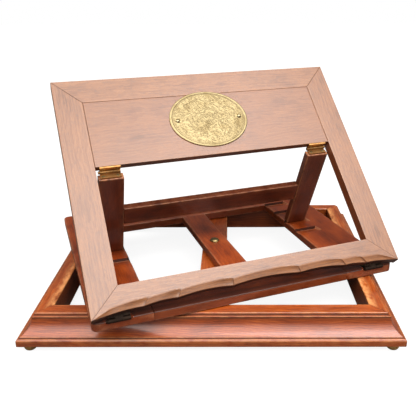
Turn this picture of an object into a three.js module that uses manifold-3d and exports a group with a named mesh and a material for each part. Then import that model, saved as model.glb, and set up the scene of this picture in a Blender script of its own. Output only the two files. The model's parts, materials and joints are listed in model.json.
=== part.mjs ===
// A turning, folding wooden stand that holds an album or a book open at a slope.
// Millimetres and degrees, +Z up, the reader stands on the -Y side.
// Run with Node 22 and the packages three and manifold-3d.

import * as THREE from 'three';
import { mergeVertices } from 'three/addons/utils/BufferGeometryUtils.js';
import Module from 'manifold-3d';

// ---------------------------------------------------------------- driving sizes

// How the stand is set up at rest
const SWIVEL_ANGLE = 21.1;
const PANEL_ANGLE = 43.8;
const REST_NOTCH = 1; // notches in front of the one that the prop stands in
const FOOT_SINK = 2.23; // how far the prop's feet reach below the turntable's top
const WALL_PLAY = 1.1; // from the feet to the stop wall behind them

// Clearances
const PLAY = 0.3; // between pieces that seat on each other
const MITRE_PLAY = 0.15; // each side of a mitre
const PIN_PLAY = 0.2; // round a pin or a screw

// Base: a mitred frame of moulding on four brass button feet
const BASE_WIDTH = 445;
const BASE_DEPTH = 371;
const BASE_HEIGHT = 42.9;
const BASE_RAIL_WIDTH = 37;
const FOOT_HEIGHT = 8.9;
const FOOT_RADIUS = 8.3;
const FOOT_PAD_RADIUS = 4.5;
const FOOT_DOME_SHARE = 0.8; // of the foot's height
const FOOT_INSET = 12;
const PLINTH_HEIGHT = 9.9;
const PLINTH_ROUND = 2.4;
const QUIRK = 1.1; // the small steps above the plinth and below the flat top
const COVE_TOP = 38.6;
const COVE_TOP_INSET = 16.1;
const COVE_SAG = 3.2;
const BEAD_INSET = 19;
const BEAD_SHARE = 0.45; // height of the bead's foot between the cove and the top's round
const TOP_ROUND = 1.6;
const CENTRE_BAR_WIDTH = 34.9;
const CENTRE_BAR_THICKNESS = 20;
const TENON_LENGTH = 12;
const TENON_THICKNESS = 6;
const TENON_SHARE = 0.5; // of the bar's width

// Swivel: one bolt through the centre bar into a domed post nut in the strut
const BOLT_RADIUS = 3;
const BOLT_HEAD_RADIUS = 7;
const BOLT_HEAD_HEIGHT = 3;
const BOLT_HEAD_TAPER = 0.7;
const WASHER_RADIUS = 11;
const WASHER_THICKNESS = 1.1;
const NUT_RADIUS = 6.5;
const NUT_HEIGHT = 3.4;
const NUT_RIM = 0.8;
const NUT_POST_RADIUS = 4.5;
const NUT_POST_LENGTH = 9;
const NUT_CROWN = 0.8; // solid above the thread
const SWIVEL_SET_BACK = 9.3; // how far the turntable's middle lies behind the bolt

// Turntable: a flat frame with ratchet notches in its side rails
const TURNTABLE_SIDE_INSET = 0.55; // each side inside the panel's
const TURNTABLE_DEPTH = 317.3;
const TURNTABLE_THICKNESS = 11.1;
const TURNTABLE_RAIL_WIDTH = 69;
const TURNTABLE_CORNER = 8;
const STRUT_WIDTH = 36.7;
const NOTCH_COUNT = 4;
const NOTCH_PITCH = 36.5;
const NOTCH_LENGTH = 17;
const NOTCH_DEPTH = 4;
const NOTCH_SPLAY = 3.4; // how much wider a notch is at its shallow end

// Panel: a mitred frame round a thinner board, its front edge scalloped
const PANEL_WIDTH = 387.6;
const PANEL_LENGTH = 310.6;
const PANEL_THICKNESS = 14.2;
const PANEL_RAIL_WIDTH = 34.3;
const BOARD_THICKNESS = 9;
const BOARD_HEIGHT = 94.1; // shown between the top rail and the open window
const LOBE_ENDS = [-1, -0.72, -0.515, -0.16, 0.315, 0.645, 0.795, 1]; // shares of half the width
const CUSP_RECESS = [0.8, 6.5, 8.5, 9.6, 9.5, 7.3, 5.3, 0.8];
const SCOOP_RATIO = 0.034; // a lobe's scoop as a share of its width
const LOBE_STEPS = 8;
const BEVEL_WIDTH = 8;
const BEVEL_DROP = 3.3;
const BEVEL_RUN_OUT = 0.12; // share of half the width in which the bevel fades at each end

// Plaque on the board
const PLAQUE_WIDTH = 106.8;
const PLAQUE_LENGTH = 85.6;
const PLAQUE_THICKNESS = 1.4;
const PLAQUE_SIDE_SHIFT = -1.7;
const PLAQUE_RISE = 54; // of its middle over the board's lower edge
const PLAQUE_SCREW_SPACING = 85.2;
const PLAQUE_SCREW_HEAD = 3.2;
const PLAQUE_SCREW_RADIUS = 1.5;
const PLAQUE_SCREW_LENGTH = 7;
const PLAQUE_SCREW_DOME = 0.6; // height as a share of the head's radius

// Prop: an H of two legs and a cross rail
const LEG_WIDTH = 31;
const LEG_THICKNESS = 10.3;
const LEG_REACH = 136.8; // hinge axis to foot
const LEG_SIDE_PLAY = 2.4;
const CROSS_RAIL_START = 58;
const CROSS_RAIL_HEIGHT = 28.4;
const CROSS_RAIL_RECESS = 1; // behind the legs' faces
const CROSS_TENON_HEIGHT = 16;
const CROSS_TENON_THICKNESS = 4;
const FOOT_SIDE_PLAY = 1;

// Butt hinges
const BARREL_RADIUS = 2.5;
const HINGE_PIN_RADIUS = 1.1;
const LEAF_THICKNESS = 1.8;
const LEAF_GAP = 0.5; // between a leaf and the plane of the closed hinge
const HINGE_LENGTH = 25.4;
const FRONT_LEAF_WIDTH = 12;
const FRONT_HINGE_INSET = 30.8; // from the panel's side to the hinge's middle
const PROP_LEAF_WIDTH = 7;
const PROP_HINGE_DROP = 1; // axis below the board's underside
const PIN_HEAD_RADIUS = 1.9;
const PIN_HEAD_LENGTH = 1.4;
const HINGE_SCREW_PLACE = 8.6;
const HINGE_SCREW_EDGE = 3.5; // from a leaf's free edge
const HINGE_SCREW_HEAD = 1.9;
const HINGE_SCREW_RADIUS = 0.9;
const HINGE_SCREW_LENGTH = 6.5;
const CUT_OVER = 2; // how far a cutter runs past the face it opens

// ---------------------------------------------------------------- derived places

const CENTRE_BAR_BOTTOM = BASE_HEIGHT - CENTRE_BAR_THICKNESS;
const TURNTABLE_BOTTOM = BASE_HEIGHT + WASHER_THICKNESS;
const TURNTABLE_TOP = TURNTABLE_BOTTOM + TURNTABLE_THICKNESS;
const TURNTABLE_WIDTH = PANEL_WIDTH - 2 * TURNTABLE_SIDE_INSET;
const FRONT_HINGE_PLACE = PANEL_WIDTH / 2 - FRONT_HINGE_INSET;
const TURNTABLE_OPENING = TURNTABLE_WIDTH - 2 * TURNTABLE_RAIL_WIDTH;
const WINDOW_TOP = PANEL_LENGTH - PANEL_RAIL_WIDTH - BOARD_HEIGHT; // from the front hinge axis
const PLAQUE_PLACE = [PLAQUE_SIDE_SHIFT, WINDOW_TOP + PLAQUE_RISE];
const HINGE_SET_BACK = LEAF_GAP + LEAF_THICKNESS + PLAY; // wood face to prop hinge axis
const PROP_AXIS_PLACE = WINDOW_TOP - HINGE_SET_BACK;
const PROP_AXIS_HEIGHT = PANEL_THICKNESS - BOARD_THICKNESS - PROP_HINGE_DROP;
const LEG_OUTSIDE = PANEL_WIDTH / 2 - PANEL_RAIL_WIDTH - LEG_SIDE_PLAY;
const LEG_INSIDE = LEG_OUTSIDE - LEG_WIDTH;
const LEG_MIDDLE = (LEG_INSIDE + LEG_OUTSIDE) / 2;
const NOTCH_END = LEG_OUTSIDE + FOOT_SIDE_PLAY;
const STANDING_LEAF = Math.PI / 2; // lays a leaf up a piece's end face

// Side view in the turntable's frame: X back from the front hinge axis, Y up from the turntable's top
const PANEL_TILT = THREE.MathUtils.degToRad(PANEL_ANGLE);
const PROP_AXIS = new THREE.Vector2(PROP_AXIS_PLACE, PROP_AXIS_HEIGHT).rotateAround(
  new THREE.Vector2(), PANEL_TILT,
);
const LEG_FACE = PROP_HINGE_DROP + LEG_THICKNESS;
const TOE_REACH = Math.hypot(LEG_REACH, LEG_FACE);
const TOE_LEAN = Math.acos((PROP_AXIS.y + FOOT_SINK) / TOE_REACH);
const LEG_LEAN = TOE_LEAN + Math.atan2(LEG_FACE, LEG_REACH);
const PROP_TILT = Math.PI / 2 - PANEL_TILT + LEG_LEAN;
const TOE_PLACE = PROP_AXIS.x + TOE_REACH * Math.sin(TOE_LEAN);
const REST_WALL = TOE_PLACE + FOOT_SINK / Math.tan(LEG_LEAN) + WALL_PLAY - TURNTABLE_DEPTH / 2;
const FIRST_NOTCH = REST_WALL - REST_NOTCH * NOTCH_PITCH;

// ---------------------------------------------------------------- finishes

const finish = (color, roughness, metalness = 0) => (
  new THREE.MeshStandardMaterial({ color, roughness, metalness })
);
const polishedWood = finish(0x92441f, 0.3);
const panelWood = finish(0xb9805f, 0.35);
const boardWood = finish(0xb37b5c, 0.35);
const propWood = finish(0x6e3218, 0.4);
const brass = finish(0xc9a458, 0.35, 1);
const agedBrass = finish(0x7d5c30, 0.5, 1);

// ---------------------------------------------------------------- solid helpers

const wasm = await Module();
wasm.setup();

/** Turns a closed geometry into a manifold-3d solid. */
function toSolid(geometry) {
  const bare = geometry.clone();
  bare.deleteAttribute('normal');
  bare.deleteAttribute('uv');
  const merged = mergeVertices(bare, 1e-4);
  return new wasm.Manifold(new wasm.Mesh({
    numProp: 3,
    vertProperties: new Float32Array(merged.attributes.position.array),
    triVerts: new Uint32Array(merged.index.array),
  }));
}

/** Turns a manifold-3d solid back into a geometry. */
function toGeometry(solid) {
  const mesh = solid.getMesh();
  const geometry = new THREE.BufferGeometry();
  geometry.setAttribute('position', new THREE.BufferAttribute(mesh.vertProperties, 3));
  geometry.setIndex(new THREE.BufferAttribute(mesh.triVerts, 1));
  return geometry;
}

/** Takes every cutter away from a geometry. */
function cut(geometry, cutters) {
  return toGeometry(cutters.reduce((solid, cutter) => solid.subtract(toSolid(cutter)), toSolid(geometry)));
}

/** Joins geometries that overlap into one closed body. */
function join(geometries) {
  return toGeometry(geometries.map(toSolid).reduce((solid, other) => solid.add(other)));
}

/** A box given by its low and high corners. */
function boxBetween(low, high) {
  const size = high.map((value, axis) => value - low[axis]);
  const middle = high.map((value, axis) => (value + low[axis]) / 2);
  return new THREE.BoxGeometry(...size).translate(...middle);
}

/** A round bar along X, its low end at `start`. */
function barAlongX(radius, start, length, y = 0, z = 0, sides = 24) {
  const bar = new THREE.CylinderGeometry(radius, radius, length, sides);
  return bar.rotateZ(Math.PI / 2).translate(start + length / 2, y, z);
}

/** A turned piece about Z from [radius, height] pairs that run from axis to axis. */
function turned(pairs, sides = 32) {
  const profile = pairs.map(([radius, height]) => new THREE.Vector2(radius, height));
  return new THREE.LatheGeometry(profile, sides).rotateX(Math.PI / 2);
}

/** A closed body through sections of equal count; place(k, point) gives each point's place. */
function loft(sections, place) {
  const count = sections[0].length;
  const last = sections.length - 1;
  const positions = sections.flatMap((section, k) => section.flatMap((point) => place(k, point)));
  const index = [];
  for (let k = 0; k < last; k += 1) {
    for (let i = 0; i < count; i += 1) {
      const j = (i + 1) % count;
      const near = [k * count + i, k * count + j];
      const far = [(k + 1) * count + i, (k + 1) * count + j];
      index.push(near[0], near[1], far[1], near[0], far[1], far[0]);
    }
  }
  for (const [a, b, c] of THREE.ShapeUtils.triangulateShape(sections[0], [])) {
    index.push(c, b, a);
  }
  for (const [a, b, c] of THREE.ShapeUtils.triangulateShape(sections[last], [])) {
    index.push(last * count + a, last * count + b, last * count + c);
  }
  const geometry = new THREE.BufferGeometry();
  geometry.setAttribute('position', new THREE.Float32BufferAttribute(positions, 3));
  geometry.setIndex(index);
  return geometry;
}

/** A rail along X with 45-degree mitred ends; sections hold [inset from the outer edge, height]. */
function mitredRail(sections, length) {
  const last = sections.length - 1;
  return loft(sections, (k, { x: inset, y: height }) => {
    const share = (2 * k) / last - 1;
    return [share * (length / 2 - inset - MITRE_PLAY), inset, height];
  });
}

/** Adds a named mesh to a group. */
function add(group, name, geometry, material) {
  const mesh = new THREE.Mesh(geometry, material);
  mesh.name = name;
  group.add(mesh);
  return mesh;
}

/** Points of an arc from `start` to `end` that bulges by `sag` to the right of its way. */
function sagArc(start, end, sag, steps) {
  const chord = end.clone().sub(start);
  const half = chord.length() / 2;
  const radius = (half * half + sag * sag) / (2 * sag);
  const normal = new THREE.Vector2(chord.y, -chord.x).normalize();
  const centre = start.clone().add(end).multiplyScalar(0.5).addScaledVector(normal, sag - radius);
  const sweep = 2 * Math.asin(half / radius);
  return Array.from({ length: steps + 1 }, (_, i) => (
    start.clone().rotateAround(centre, (sweep * i) / steps)
  ));
}

// ---------------------------------------------------------------- butt hinges

/** One hinge leaf: a plate along +Y under the X axis with its own knuckles round the axis. */
function hingeLeaf(width, knuckles) {
  const half = HINGE_LENGTH / 2;
  const plateStart = BARREL_RADIUS + PLAY;
  const under = [-LEAF_GAP - LEAF_THICKNESS, -LEAF_GAP];
  const parts = [boxBetween([-half, plateStart, under[0]], [half, plateStart + width, under[1]])];
  for (const [start, end] of knuckles) {
    parts.push(barAlongX(BARREL_RADIUS, start, end - start));
    parts.push(boxBetween([start, BARREL_RADIUS / 2, under[0]], [end, plateStart + 1, under[1]]));
  }
  const bore = barAlongX(HINGE_PIN_RADIUS + PIN_PLAY, -half - CUT_OVER, HINGE_LENGTH + 2 * CUT_OVER);
  const screwHoles = screwPlaces(width).map((place) => hingeScrew(PIN_PLAY).translate(...place));
  return cut(join(parts), [bore, ...screwHoles]);
}

/** Places of a leaf's two screws, at the top face of the plate. */
function screwPlaces(width) {
  const row = BARREL_RADIUS + PLAY + width - HINGE_SCREW_EDGE;
  return [-HINGE_SCREW_PLACE, HINGE_SCREW_PLACE].map((x) => [x, row, -LEAF_GAP]);
}

/** A countersunk screw that points down -Z, grown by `play` when it is used as a cutter. */
function hingeScrew(play = 0) {
  const head = HINGE_SCREW_HEAD + play;
  const shank = HINGE_SCREW_RADIUS + play;
  const top = play ? [[head, CUT_OVER], [0, CUT_OVER]] : [[0, 0]];
  return turned([
    [0, -HINGE_SCREW_LENGTH - play],
    [shank, -HINGE_SCREW_LENGTH - play],
    [shank, -HINGE_SCREW_HEAD - play],
    [head, -play],
    ...top,
  ], 20);
}

/** A hinge pin along X with a round head at the end that `headSide` points to. */
function hingePin(headSide) {
  const half = HINGE_LENGTH / 2;
  const shank = barAlongX(HINGE_PIN_RADIUS, -half, HINGE_LENGTH + PIN_HEAD_LENGTH);
  const head = barAlongX(PIN_HEAD_RADIUS, half + PLAY, PIN_HEAD_LENGTH);
  const pin = join([shank, head]);
  return headSide > 0 ? pin : pin.rotateZ(Math.PI);
}

const KNUCKLE_SHARE = HINGE_LENGTH / 3;
const OUTER_KNUCKLES = [
  [-HINGE_LENGTH / 2, -KNUCKLE_SHARE / 2 - PLAY],
  [KNUCKLE_SHARE / 2 + PLAY, HINGE_LENGTH / 2],
];
const MIDDLE_KNUCKLE = [[-KNUCKLE_SHARE / 2, KNUCKLE_SHARE / 2]];

/** Adds a leaf and its screws to a group, both laid over by `turn` about X. */
function addLeaf(group, name, width, knuckles, x, turn) {
  const leaf = new THREE.Group();
  leaf.position.x = x;
  leaf.rotation.x = turn;
  group.add(leaf);
  add(leaf, `${name}_leaf`, hingeLeaf(width, knuckles), agedBrass);
  screwPlaces(width).forEach((place, i) => {
    add(leaf, `${name}_screw_${i + 1}`, hingeScrew(), brass).position.set(...place);
  });
}

/** Cutters that open a piece for the screws of a leaf laid over by `turn` about X. */
function screwCutters(width, turn = 0) {
  return screwPlaces(width).map((place) => hingeScrew(PIN_PLAY).translate(...place).rotateX(turn));
}

/** The pocket of a front leaf: the plate's bed and, with `barrel`, room for the barrel. */
function frontPocket(x, barrel) {
  const bed = HINGE_LENGTH / 2 + PLAY;
  const room = bed + PIN_HEAD_LENGTH + PLAY;
  const deep = BARREL_RADIUS + PLAY;
  const plate = boxBetween([x - bed, -CUT_OVER, -HINGE_SET_BACK], [x + bed, frontLeafEnd(), CUT_OVER]);
  return barrel ? [plate, boxBetween([x - room, -deep, -deep], [x + room, deep, CUT_OVER])] : [plate];
}

/** Where the pocket of a front leaf ends, from the hinge axis. */
function frontLeafEnd() {
  return BARREL_RADIUS + PLAY + FRONT_LEAF_WIDTH + PLAY;
}

// ---------------------------------------------------------------- base

/** The moulding's section as [inset, height] points, anticlockwise from the inner bottom. */
function mouldingSection() {
  const bottom = FOOT_HEIGHT;
  const plinthTop = bottom + PLINTH_HEIGHT;
  const outline = new THREE.Path();
  outline.moveTo(BASE_RAIL_WIDTH, bottom);
  outline.lineTo(BASE_RAIL_WIDTH, BASE_HEIGHT - TOP_ROUND);
  outline.absarc(BASE_RAIL_WIDTH - TOP_ROUND, BASE_HEIGHT - TOP_ROUND, TOP_ROUND, 0, Math.PI / 2);
  outline.lineTo(BEAD_INSET + TOP_ROUND, BASE_HEIGHT);
  outline.absarc(BEAD_INSET + TOP_ROUND, BASE_HEIGHT - TOP_ROUND, TOP_ROUND, Math.PI / 2, Math.PI);
  const points = outline.getPoints(4);
  const beadTop = COVE_TOP + (BASE_HEIGHT - COVE_TOP - TOP_ROUND) * BEAD_SHARE;
  points.push(new THREE.Vector2(BEAD_INSET, beadTop));
  points.push(new THREE.Vector2(COVE_TOP_INSET + QUIRK / 2, beadTop));
  points.push(new THREE.Vector2(COVE_TOP_INSET - QUIRK / 4, (beadTop + COVE_TOP) / 2));
  const coveTop = new THREE.Vector2(COVE_TOP_INSET, COVE_TOP);
  const coveFoot = new THREE.Vector2(PLINTH_ROUND + QUIRK, plinthTop + QUIRK);
  points.push(...sagArc(coveTop, coveFoot, -COVE_SAG, 8));
  points.push(new THREE.Vector2(coveFoot.x, plinthTop));
  const nose = new THREE.Path();
  nose.absarc(PLINTH_ROUND, plinthTop - PLINTH_ROUND, PLINTH_ROUND, Math.PI / 2, Math.PI);
  nose.absarc(PLINTH_ROUND, bottom + PLINTH_ROUND, PLINTH_ROUND, Math.PI, Math.PI * 1.5);
  points.push(...nose.getPoints(4));
  return points;
}

/** A tenon along Y, centred in a bar's thickness, or its mortise when it is grown by `play`. */
function tenonBox(width, middleHeight, from, to, play = 0) {
  const half = [(width * TENON_SHARE) / 2 + play, TENON_THICKNESS / 2 + play];
  return boxBetween([-half[0], from, middleHeight - half[1]], [half[0], to, middleHeight + half[1]]);
}

function buildBase() {
  const base = new THREE.Group();
  const section = mouldingSection();
  const barMiddle = CENTRE_BAR_BOTTOM + CENTRE_BAR_THICKNESS / 2;
  const mortise = tenonBox(
    CENTRE_BAR_WIDTH, barMiddle,
    BASE_RAIL_WIDTH - TENON_LENGTH - PLAY, BASE_RAIL_WIDTH + CUT_OVER, PLAY,
  );
  const long = cut(mitredRail([section, section], BASE_WIDTH), [mortise]);
  const short = mitredRail([section, section], BASE_DEPTH);
  const sides = [
    ['front', long, 0, -BASE_DEPTH / 2, 0],
    ['right', short, BASE_WIDTH / 2, 0, 90],
    ['back', long, 0, BASE_DEPTH / 2, 180],
    ['left', short, -BASE_WIDTH / 2, 0, 270],
  ];
  for (const [side, geometry, x, y, turn] of sides) {
    const rail = add(base, `base_${side}_rail`, geometry, polishedWood);
    rail.position.set(x, y, 0);
    rail.rotation.z = THREE.MathUtils.degToRad(turn);
  }

  const barEnd = BASE_DEPTH / 2 - BASE_RAIL_WIDTH - PLAY;
  const tenonEnd = barEnd + TENON_LENGTH;
  const bar = join([
    boxBetween(
      [-CENTRE_BAR_WIDTH / 2, -barEnd, CENTRE_BAR_BOTTOM],
      [CENTRE_BAR_WIDTH / 2, barEnd, BASE_HEIGHT],
    ),
    tenonBox(CENTRE_BAR_WIDTH, barMiddle, -tenonEnd, tenonEnd),
  ]);
  const boltHole = turned([
    [0, CENTRE_BAR_BOTTOM - CUT_OVER],
    [BOLT_RADIUS + PIN_PLAY, CENTRE_BAR_BOTTOM - CUT_OVER],
    [BOLT_RADIUS + PIN_PLAY, BASE_HEIGHT + CUT_OVER],
    [0, BASE_HEIGHT + CUT_OVER],
  ]);
  add(base, 'base_centre_bar', cut(bar, [boltHole]), polishedWood);

  const feet = [
    ['front_left', -1, -1],
    ['front_right', 1, -1],
    ['back_left', -1, 1],
    ['back_right', 1, 1],
  ];
  for (const [place, sideX, sideY] of feet) {
    const foot = add(base, `foot_${place}`, buttonFoot(), brass);
    foot.position.x = sideX * (BASE_WIDTH / 2 - FOOT_INSET);
    foot.position.y = sideY * (BASE_DEPTH / 2 - FOOT_INSET);
  }
  addSwivel(base);
  return base;
}

/** A domed button foot with a flat pad on the floor. */
function buttonFoot() {
  const top = FOOT_HEIGHT - PLAY;
  const dome = Array.from({ length: 7 }, (_, i) => {
    const angle = (i / 6) * (Math.PI / 2);
    const radius = FOOT_PAD_RADIUS + (FOOT_RADIUS - FOOT_PAD_RADIUS) * Math.sin(angle);
    return [radius, top * FOOT_DOME_SHARE * (1 - Math.cos(angle))];
  });
  return turned([[0, 0], ...dome, [FOOT_RADIUS, top], [0, top]]);
}

/** The swivel bolt, its washer and the domed post nut that the strut turns round. */
function addSwivel(base) {
  const headTop = CENTRE_BAR_BOTTOM - PLAY;
  const seat = TURNTABLE_TOP + PLAY;
  const boreTop = seat - NUT_CROWN;
  add(base, 'pivot_bolt', turned([
    [0, headTop - BOLT_HEAD_HEIGHT],
    [BOLT_HEAD_RADIUS * BOLT_HEAD_TAPER, headTop - BOLT_HEAD_HEIGHT],
    [BOLT_HEAD_RADIUS, headTop - BOLT_HEAD_HEIGHT / 2],
    [BOLT_HEAD_RADIUS, headTop],
    [BOLT_RADIUS, headTop],
    [BOLT_RADIUS, boreTop - PLAY],
    [0, boreTop - PLAY],
  ]), agedBrass);
  const washerBottom = BASE_HEIGHT + PLAY / 2;
  const washerTop = TURNTABLE_BOTTOM - PLAY / 2;
  add(base, 'pivot_washer', turned([
    [BOLT_RADIUS + PIN_PLAY, washerBottom],
    [WASHER_RADIUS, washerBottom],
    [WASHER_RADIUS, washerTop],
    [BOLT_RADIUS + PIN_PLAY, washerTop],
    [BOLT_RADIUS + PIN_PLAY, washerBottom],
  ]), brass);
  const dome = Array.from({ length: 9 }, (_, i) => {
    const angle = (i / 8) * (Math.PI / 2);
    return [NUT_RADIUS * Math.cos(angle), seat + NUT_RIM + (NUT_HEIGHT - NUT_RIM) * Math.sin(angle)];
  });
  add(base, 'pivot_dome_nut', turned([
    [0, boreTop],
    [BOLT_RADIUS + PIN_PLAY, boreTop],
    [BOLT_RADIUS + PIN_PLAY, seat - NUT_POST_LENGTH],
    [NUT_POST_RADIUS, seat - NUT_POST_LENGTH],
    [NUT_POST_RADIUS, seat],
    [NUT_RADIUS, seat],
    ...dome.slice(0, -1),
    [0, seat + NUT_HEIGHT],
  ]), brass);
}

// ---------------------------------------------------------------- turntable

/** A ratchet notch: a stop wall at the back and a floor that rises to the front. */
function notchCutter(side, wall) {
  const inner = TURNTABLE_OPENING / 2 - CUT_OVER;
  const rise = (NOTCH_LENGTH * CUT_OVER) / NOTCH_DEPTH;
  const section = [
    new THREE.Vector2(wall, -NOTCH_DEPTH),
    new THREE.Vector2(wall, CUT_OVER),
    new THREE.Vector2(wall - NOTCH_LENGTH - rise, CUT_OVER),
  ];
  const reach = (k, point) => (k === 0 ? inner : NOTCH_END + (point.x < wall ? NOTCH_SPLAY : 0));
  const sections = [section, section];
  return loft(sections, (k, point) => {
    const along = side > 0 ? k : 1 - k;
    return [side * reach(along, point), point.x, point.y];
  });
}

/** A side rail in plan, its two outer corners rounded; its inner edge lies towards the middle. */
function sideRailShape(side) {
  const outer = TURNTABLE_WIDTH / 2;
  const inner = TURNTABLE_OPENING / 2 + PLAY / 2;
  const end = TURNTABLE_DEPTH / 2;
  const round = TURNTABLE_CORNER;
  const shape = new THREE.Shape();
  shape.moveTo(inner, -end);
  shape.lineTo(outer - round, -end);
  shape.absarc(outer - round, -end + round, round, -Math.PI / 2, 0);
  shape.absarc(outer - round, end - round, round, 0, Math.PI / 2);
  shape.lineTo(inner, end);
  const points = shape.getPoints(6).map((point) => new THREE.Vector2(side * point.x, point.y));
  return new THREE.Shape(points);
}

function buildTurntable() {
  const turntable = new THREE.Group();
  const frame = new THREE.Group();
  frame.position.set(0, SWIVEL_SET_BACK, TURNTABLE_TOP);
  turntable.add(frame);

  const depth = TURNTABLE_THICKNESS;
  const outerEdge = TURNTABLE_DEPTH / 2;
  const axisLine = [0, -outerEdge, 0];
  const walls = Array.from({ length: NOTCH_COUNT }, (_, i) => FIRST_NOTCH + i * NOTCH_PITCH);
  for (const [name, side] of [['left', -1], ['right', 1]]) {
    const plank = new THREE.ExtrudeGeometry(sideRailShape(side), { depth, bevelEnabled: false });
    plank.translate(0, 0, -depth);
    const x = side * FRONT_HINGE_PLACE;
    const screwHoles = screwCutters(FRONT_LEAF_WIDTH).map((cutter) => cutter.translate(x, 0, 0));
    const hingeCutters = [...frontPocket(x, true), ...screwHoles];
    const notched = cut(plank, [
      ...walls.map((wall) => notchCutter(side, wall)),
      ...hingeCutters.map((cutter) => cutter.translate(...axisLine)),
    ]);
    add(frame, `turntable_${name}_rail`, notched, polishedWood);
  }

  const railEnd = TURNTABLE_OPENING / 2 - PLAY / 2;
  const innerEdge = outerEdge - TURNTABLE_RAIL_WIDTH;
  const middle = -TURNTABLE_THICKNESS / 2;
  const mortise = tenonBox(
    STRUT_WIDTH, middle,
    -innerEdge - TENON_LENGTH - PLAY, -innerEdge + CUT_OVER, PLAY,
  );
  const rail = cut(boxBetween([-railEnd, -outerEdge, -depth], [railEnd, -innerEdge, 0]), [mortise]);
  add(frame, 'turntable_front_rail', rail, polishedWood);
  add(frame, 'turntable_back_rail', rail.clone().rotateZ(Math.PI), polishedWood);

  const strutEnd = innerEdge - PLAY;
  const tenonEnd = strutEnd + TENON_LENGTH;
  const strut = join([
    boxBetween([-STRUT_WIDTH / 2, -strutEnd, -depth], [STRUT_WIDTH / 2, strutEnd, 0]),
    tenonBox(STRUT_WIDTH, middle, -tenonEnd, tenonEnd),
  ]);
  const postHole = turned([
    [0, -depth - CUT_OVER],
    [NUT_POST_RADIUS + PIN_PLAY, -depth - CUT_OVER],
    [NUT_POST_RADIUS + PIN_PLAY, CUT_OVER],
    [0, CUT_OVER],
  ]).translate(0, -SWIVEL_SET_BACK, 0);
  add(frame, 'turntable_strut', cut(strut, [postHole]), polishedWood);

  const hinges = new THREE.Group();
  hinges.position.set(...axisLine);
  frame.add(hinges);
  for (const [name, side] of [['left', -1], ['right', 1]]) {
    const x = side * FRONT_HINGE_PLACE;
    addLeaf(hinges, `front_hinge_${name}_lower`, FRONT_LEAF_WIDTH, OUTER_KNUCKLES, x, 0);
    add(hinges, `front_hinge_${name}_pin`, hingePin(side), agedBrass).position.x = x;
  }
  return { turntable, hinges };
}

// ---------------------------------------------------------------- panel

/** The front edge's recess where a share of half the width lies from the middle. */
function frontRecess(share) {
  const lobe = Math.max(1, LOBE_ENDS.findIndex((end) => end >= share));
  const [from, to] = [LOBE_ENDS[lobe - 1], LOBE_ENDS[lobe]];
  const t = (share - from) / (to - from);
  const scoop = SCOOP_RATIO * (to - from) * (PANEL_WIDTH / 2);
  return THREE.MathUtils.lerp(CUSP_RECESS[lobe - 1], CUSP_RECESS[lobe], t) + scoop * 4 * t * (1 - t);
}

/** The bottom rail's section where a share of half the width lies from the middle. */
function bottomRailSection(share) {
  const front = frontRecess(share);
  const fade = Math.min(1, (1 - Math.abs(share)) / BEVEL_RUN_OUT + 0.1);
  return [
    new THREE.Vector2(front, 0),
    new THREE.Vector2(PANEL_RAIL_WIDTH, 0),
    new THREE.Vector2(PANEL_RAIL_WIDTH, PANEL_THICKNESS),
    new THREE.Vector2(front + BEVEL_WIDTH * fade, PANEL_THICKNESS),
    new THREE.Vector2(front, PANEL_THICKNESS - BEVEL_DROP * fade),
  ];
}

/** The scalloped bottom rail, its front edge towards -Y and its ends mitred. */
function bottomRail() {
  const shares = LOBE_ENDS.slice(1).flatMap((end, lobe) => (
    Array.from({ length: LOBE_STEPS }, (_, i) => (
      THREE.MathUtils.lerp(LOBE_ENDS[lobe], end, i / LOBE_STEPS)
    ))
  ));
  shares.push(1);
  const rail = loft(shares.map(bottomRailSection), (k, { x: inset, y: height }) => (
    [shares[k] * (PANEL_WIDTH / 2 - inset - MITRE_PLAY), inset, height]
  ));
  const pockets = [-FRONT_HINGE_PLACE, FRONT_HINGE_PLACE].flatMap((x) => (
    [...frontPocket(0, false), ...screwCutters(FRONT_LEAF_WIDTH)]
      .map((cutter) => cutter.rotateY(Math.PI).translate(x, 0, 0))
  ));
  return cut(rail, pockets);
}

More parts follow.
